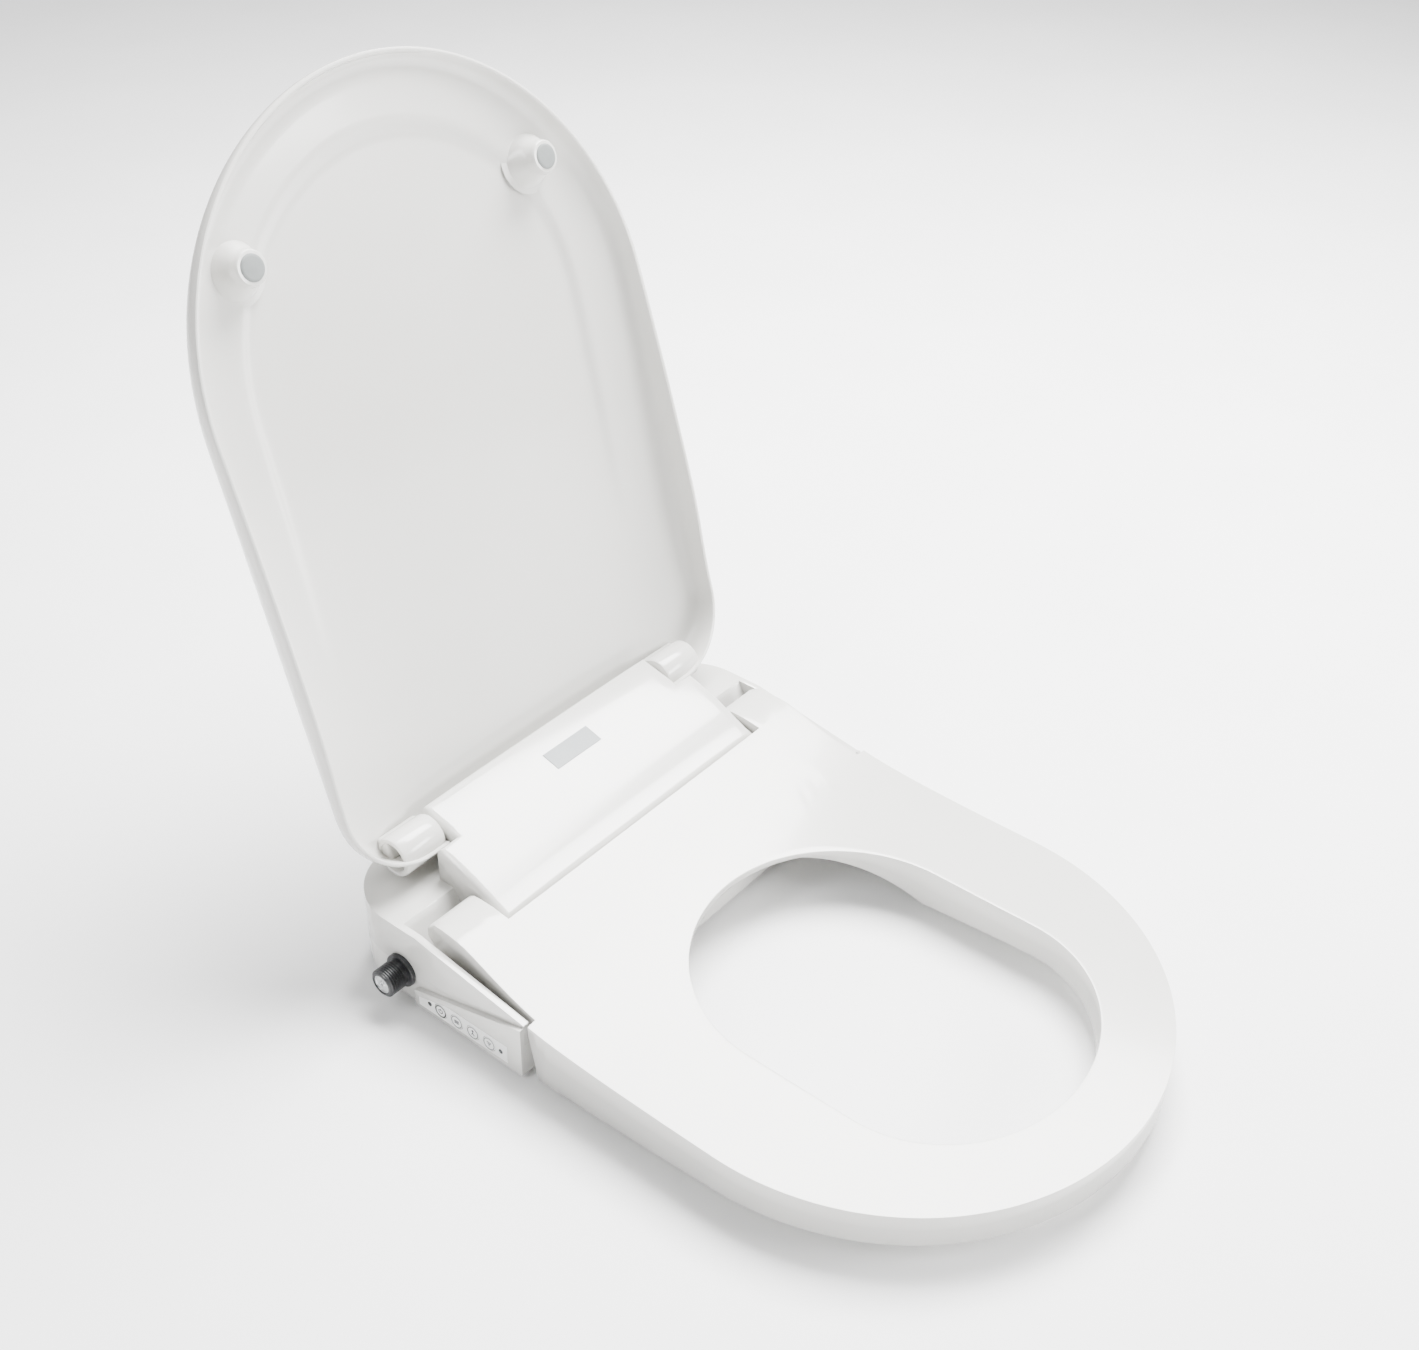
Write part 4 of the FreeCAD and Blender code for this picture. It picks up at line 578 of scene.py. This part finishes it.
def cover_shape():
    """Sloping top cover with a soft front edge, narrower between the lid's barrels."""
    bm = bmesh.new()
    bmesh.ops.create_grid(bm, x_segments=COVER_COLUMNS, y_segments=COVER_ROWS, size=1.0)
    half_wide = cover_high.x
    middle = (cover_low.y + cover_high.y) / 2
    half_deep = (cover_high.y - cover_low.y) / 2
    for vert in bm.verts:
        x, y = vert.co.x * half_wide, middle + vert.co.y * half_deep
        # the column and the row nearest to the step move onto it, so the rounding has room beside them
        if abs(abs(x) - STEP_HALF) < half_wide / COVER_COLUMNS:
            x = math.copysign(STEP_HALF, x)
        if abs(y - STEP_Y) < half_deep / COVER_ROWS:
            y = STEP_Y
        vert.co = Vector((x, y, 0))
    gone = [face for face in bm.faces
            if abs(face.calc_center_median().x) > STEP_HALF and face.calc_center_median().y > STEP_Y]
    bmesh.ops.delete(bm, geom=gone, context="FACES")
    for vert in bm.verts:
        vert.co.z = cover_height(vert.co.x, vert.co.y)
    rim = [edge for edge in bm.edges if edge.is_boundary]
    made = bmesh.ops.extrude_edge_only(bm, edges=rim)["geom"]
    for vert in [item for item in made if isinstance(item, bmesh.types.BMVert)]:
        vert.co.z = COVER_FOOT if vert.co.y < 6 else COVER_FOOT_BACK
    bmesh.ops.recalc_face_normals(bm, faces=bm.faces)
    bmesh.ops.bevel(bm, geom=rim, offset=COVER_EDGE, segments=6, profile=0.5, affect="EDGES", material=-1)
    return bm


thicken(piece("sloping_cover", cover_shape(), ["top_cover"]), 2.4)


# ---------------------------------------------------------------- base shells
def softened(name, node, radius, angle=40):
    """The node's own shape with its hard edges rounded, as a moulding comes from its tool."""
    source = frame["nodes"][node]
    bm = bmesh.new()
    bm.from_mesh(source.data)
    bmesh.ops.scale(bm, vec=(1 / MM, 1 / MM, 1 / MM), verts=bm.verts)
    bmesh.ops.remove_doubles(bm, verts=bm.verts, dist=0.004)
    bmesh.ops.dissolve_limit(bm, angle_limit=math.radians(1.5), verts=bm.verts, edges=bm.edges)
    thing = piece(name, bm, [node], smooth=None)
    soft = thing.modifiers.new("edges", "BEVEL")
    soft.width = radius * MM
    soft.segments = 3
    soft.limit_method = "ANGLE"
    soft.angle_limit = math.radians(angle)
    soft.harden_normals = True
    return thing


softened("lower_housing", "base_tray", 0.6)
softened("upper_housing_shell", "upper_housing", 1.6)
softened("left_panel", "side_panel", 0.8)
softened("right_panel", "side_trim", 0.8)
softened("slide_release", "release_button", 1.0)

# ---------------------------------------------------------------- inlet
inlet_low, inlet_high = corners("water_inlet")
inlet_mid = (inlet_low + inlet_high) / 2
PITCH = 1.814
CREST = 10.4775
ROOT = CREST - 1.16


def inlet_outline():
    """Half section of the spigot: flange, groove, threaded length and its bored end."""
    flange = inlet_high.x - 6.5 - inlet_low.x
    points = [(0, 7.0), (0, ROOT - 0.8), (0.5, ROOT)]
    turns = int((flange - 2.5) / PITCH)
    for turn in range(turns):
        start = 0.9 + turn * PITCH
        points += [(start, ROOT), (start + 0.35 * PITCH, CREST), (start + 0.6 * PITCH, CREST),
                   (start + 0.95 * PITCH, ROOT)]
    points += [(flange - 0.2, ROOT), (flange, ROOT + 0.3), (flange, CREST + 1.7), (flange + 0.5, CREST + 2.2),
               (flange + 3.0, CREST + 2.2), (flange + 3.5, CREST + 1.9), (flange + 3.5, 7.0)]
    return points


bm = bmesh.new()
turned(bm, inlet_outline(), (inlet_low.x, inlet_mid.y, inlet_mid.z), (1, 0, 0), steps=72)
piece("inlet_spigot", bm, ["water_inlet"], smooth=30)
bm = bmesh.new()
filter_low = corners("inlet_filter")[0]
turned(bm, [(0.6, 0.01), (0.6, 1.2), (0.0, 1.5), (0.0, 2.4), (0.6, 2.8), (0.6, 5.6), (0, 6.2), (0, 6.9),
            (9, 6.9)], (filter_low.x, inlet_mid.y, inlet_mid.z), (1, 0, 0))
piece("inlet_strainer", bm, ["inlet_filter"])

# ---------------------------------------------------------------- buttons and their marks
INK_HEIGHT = 0.06
BUTTONS = [("power", "power_key"), ("rear_wash", "rear_wash_key"), ("front_wash", "front_wash_key"),
           ("dryer", "dryer_key")]


def strip(bm, points, half, x, closed):
    """A flat printed line of even width through (y, z) points, standing on the button at x."""
    count = len(points)
    for index in range(count if closed else count - 1):
        a = Vector((x, *points[index]))
        b = Vector((x, *points[(index + 1) % count]))
        along = (b - a).normalized()
        side = along.cross(Vector((1, 0, 0))) * half
        reach = along * half * 0.4
        verts = [bm.verts.new(corner) for corner in (a - side - reach, b - side + reach, b + side + reach,
                                                     a + side - reach)]
        face = bm.faces.new(verts)
        made = bmesh.ops.extrude_face_region(bm, geom=[face])["geom"]
        moved = [item for item in made if isinstance(item, bmesh.types.BMVert)]
        bmesh.ops.translate(bm, vec=(-INK_HEIGHT, 0, 0), verts=moved)
    bmesh.ops.recalc_face_normals(bm, faces=bm.faces)


def circle_points(y, z, radius, start=0, end=360, count=28):
    """Points on a circle or an arc about (y, z), clockwise from its top."""
    steps = range(count + 1 if end - start < 360 else count)
    turns = [math.radians(start + (end - start) * step / count) for step in steps]
    return [(y + radius * math.sin(a), z + radius * math.cos(a)) for a in turns]


def mark_power(y, z):
    return [(circle_points(y, z, 1.7, 35, 325), False), ([(y, z + 0.4), (y, z + 2.2)], False)]


def mark_rear(y, z):
    waves = []
    for row in (-1.1, 0, 1.1):
        wave = [(y - 2.0 + 0.5 * i, z + row + 0.35 * math.sin(i * math.pi / 2)) for i in range(9)]
        waves.append((wave, False))
    return waves


def mark_front(y, z):
    return [(circle_points(y, z + 1.6, 0.6, count=14), True), ([(y, z + 0.9), (y, z - 0.6)], False),
            ([(y - 1.2, z - 2.0), (y, z - 0.6), (y + 1.2, z - 2.0)], False)]


def mark_dryer(y, z):
    return [([(y - 2.0, z + 1.2), (y + 2.0, z + 1.2)], False), ([(y - 1.3, z), (y + 1.3, z)], False),
            ([(y, z - 2.0), (y, z - 0.6)], False)]


BUTTON_RADIUS = 5.6
MARKS = {"power": mark_power, "rear_wash": mark_rear, "front_wash": mark_front, "dryer": mark_dryer}
for name, body in BUTTONS:
    low, high = corners("button_" + name)
    middle = (low + high) / 2
    bm = bmesh.new()
    cap = [(0, 0.01), (0, BUTTON_RADIUS - 1.1), (0.12, BUTTON_RADIUS - 0.45), (0.45, BUTTON_RADIUS - 0.1),
           (0.9, BUTTON_RADIUS), (5.0, BUTTON_RADIUS), (5.0, 2.5), (high.x - low.x, 2.5),
           (high.x - low.x, 0.01)]
    turned(bm, cap, (low.x, middle.y, middle.z), (1, 0, 0))
    piece("key_" + name, bm, ["button_" + name], material=LABEL_FILM, smooth=30)
    bm = bmesh.new()
    for points, closed in MARKS[name](middle.y, middle.z):
        strip(bm, points, 0.34, low.x, closed)
    strip(bm, circle_points(middle.y, middle.z, BUTTON_RADIUS - 1.0, count=40),
          0.5 if name == "power" else 0.28, low.x, True)
    piece("mark_" + name, bm, body=body, slot="lens", material=DARK_INK if name in ("power", "front_wash")
          else MARK_INK, smooth=None)

# ---------------------------------------------------------------- floor, light and camera
floor_z = min(CAD_BOX[0][2], 0.0) - 0.0005
bm = bmesh.new()
bmesh.ops.create_grid(bm, x_segments=2, y_segments=2, size=6.0)
bmesh.ops.translate(bm, vec=(0, 0, floor_z), verts=bm.verts)
mesh = bpy.data.meshes.new("studio_floor")
bm.to_mesh(mesh)
bm.free()
floor = bpy.data.objects.new("studio_floor", mesh)
bpy.context.collection.objects.link(floor)
mesh.materials.append(finish("seamless_paper", {"Base Color": "FCFCFC", "Roughness": 0.9}, grain=(2.0, 0.02),
                             shade=("F3F3F3", 200.0, 0.5)))


def softbox(name, spot, aim, size, power):
    """A square soft light that faces a point."""
    lamp = bpy.data.lights.new(name, "AREA")
    lamp.shape = "RECTANGLE"
    lamp.size, lamp.size_y = size
    lamp.energy = power
    holder = bpy.data.objects.new(name, lamp)
    holder.location = spot
    holder.rotation_euler = (Vector(aim) - Vector(spot)).to_track_quat("-Z", "Y").to_euler()
    bpy.context.collection.objects.link(holder)


softbox("overhead", (0.9, 0.1, 1.9), (0.05, -0.15, 0.0), (1.3, 1.3), 250)
softbox("front_fill", (1.1, -2.2, 1.1), (0, -0.1, 0.25), (1.2, 0.7), 82)
softbox("left_strip", (-1.5, 0.2, 1.6), (0, 0, 0.1), (0.3, 1.6), 24)
world = bpy.data.worlds.new("studio")
bpy.context.scene.world = world
world.use_nodes = True
world.node_tree.nodes["Background"].inputs["Color"].default_value = (1, 1, 1, 1)
world.node_tree.nodes["Background"].inputs["Strength"].default_value = 0.44

AZIMUTH = math.radians(-52.005)
ELEVATION = math.radians(35.75)
ROLL = math.radians(1.436)
FOCAL_LENGTH = 45.71
ORIGIN_SEEN = Vector((-0.08705, -0.13945, -1.352))
back = Vector((math.sin(AZIMUTH) * math.cos(ELEVATION), -math.cos(AZIMUTH) * math.cos(ELEVATION),
               math.sin(ELEVATION)))
right = Vector((math.cos(AZIMUTH), math.sin(AZIMUTH), 0))
up = back.cross(right)
right, up = (right * math.cos(ROLL) + up * math.sin(ROLL), up * math.cos(ROLL) - right * math.sin(ROLL))
camera = bpy.data.cameras.new("camera")
camera.lens = FOCAL_LENGTH
camera.sensor_width = 36.0
camera.clip_start = 0.05
viewer = bpy.data.objects.new("camera", camera)
turn = Matrix((right, up, back)).transposed()
viewer.matrix_world = Matrix.Translation(-(turn @ ORIGIN_SEEN)) @ turn.to_4x4()
bpy.context.collection.objects.link(viewer)
bpy.context.scene.camera = viewer
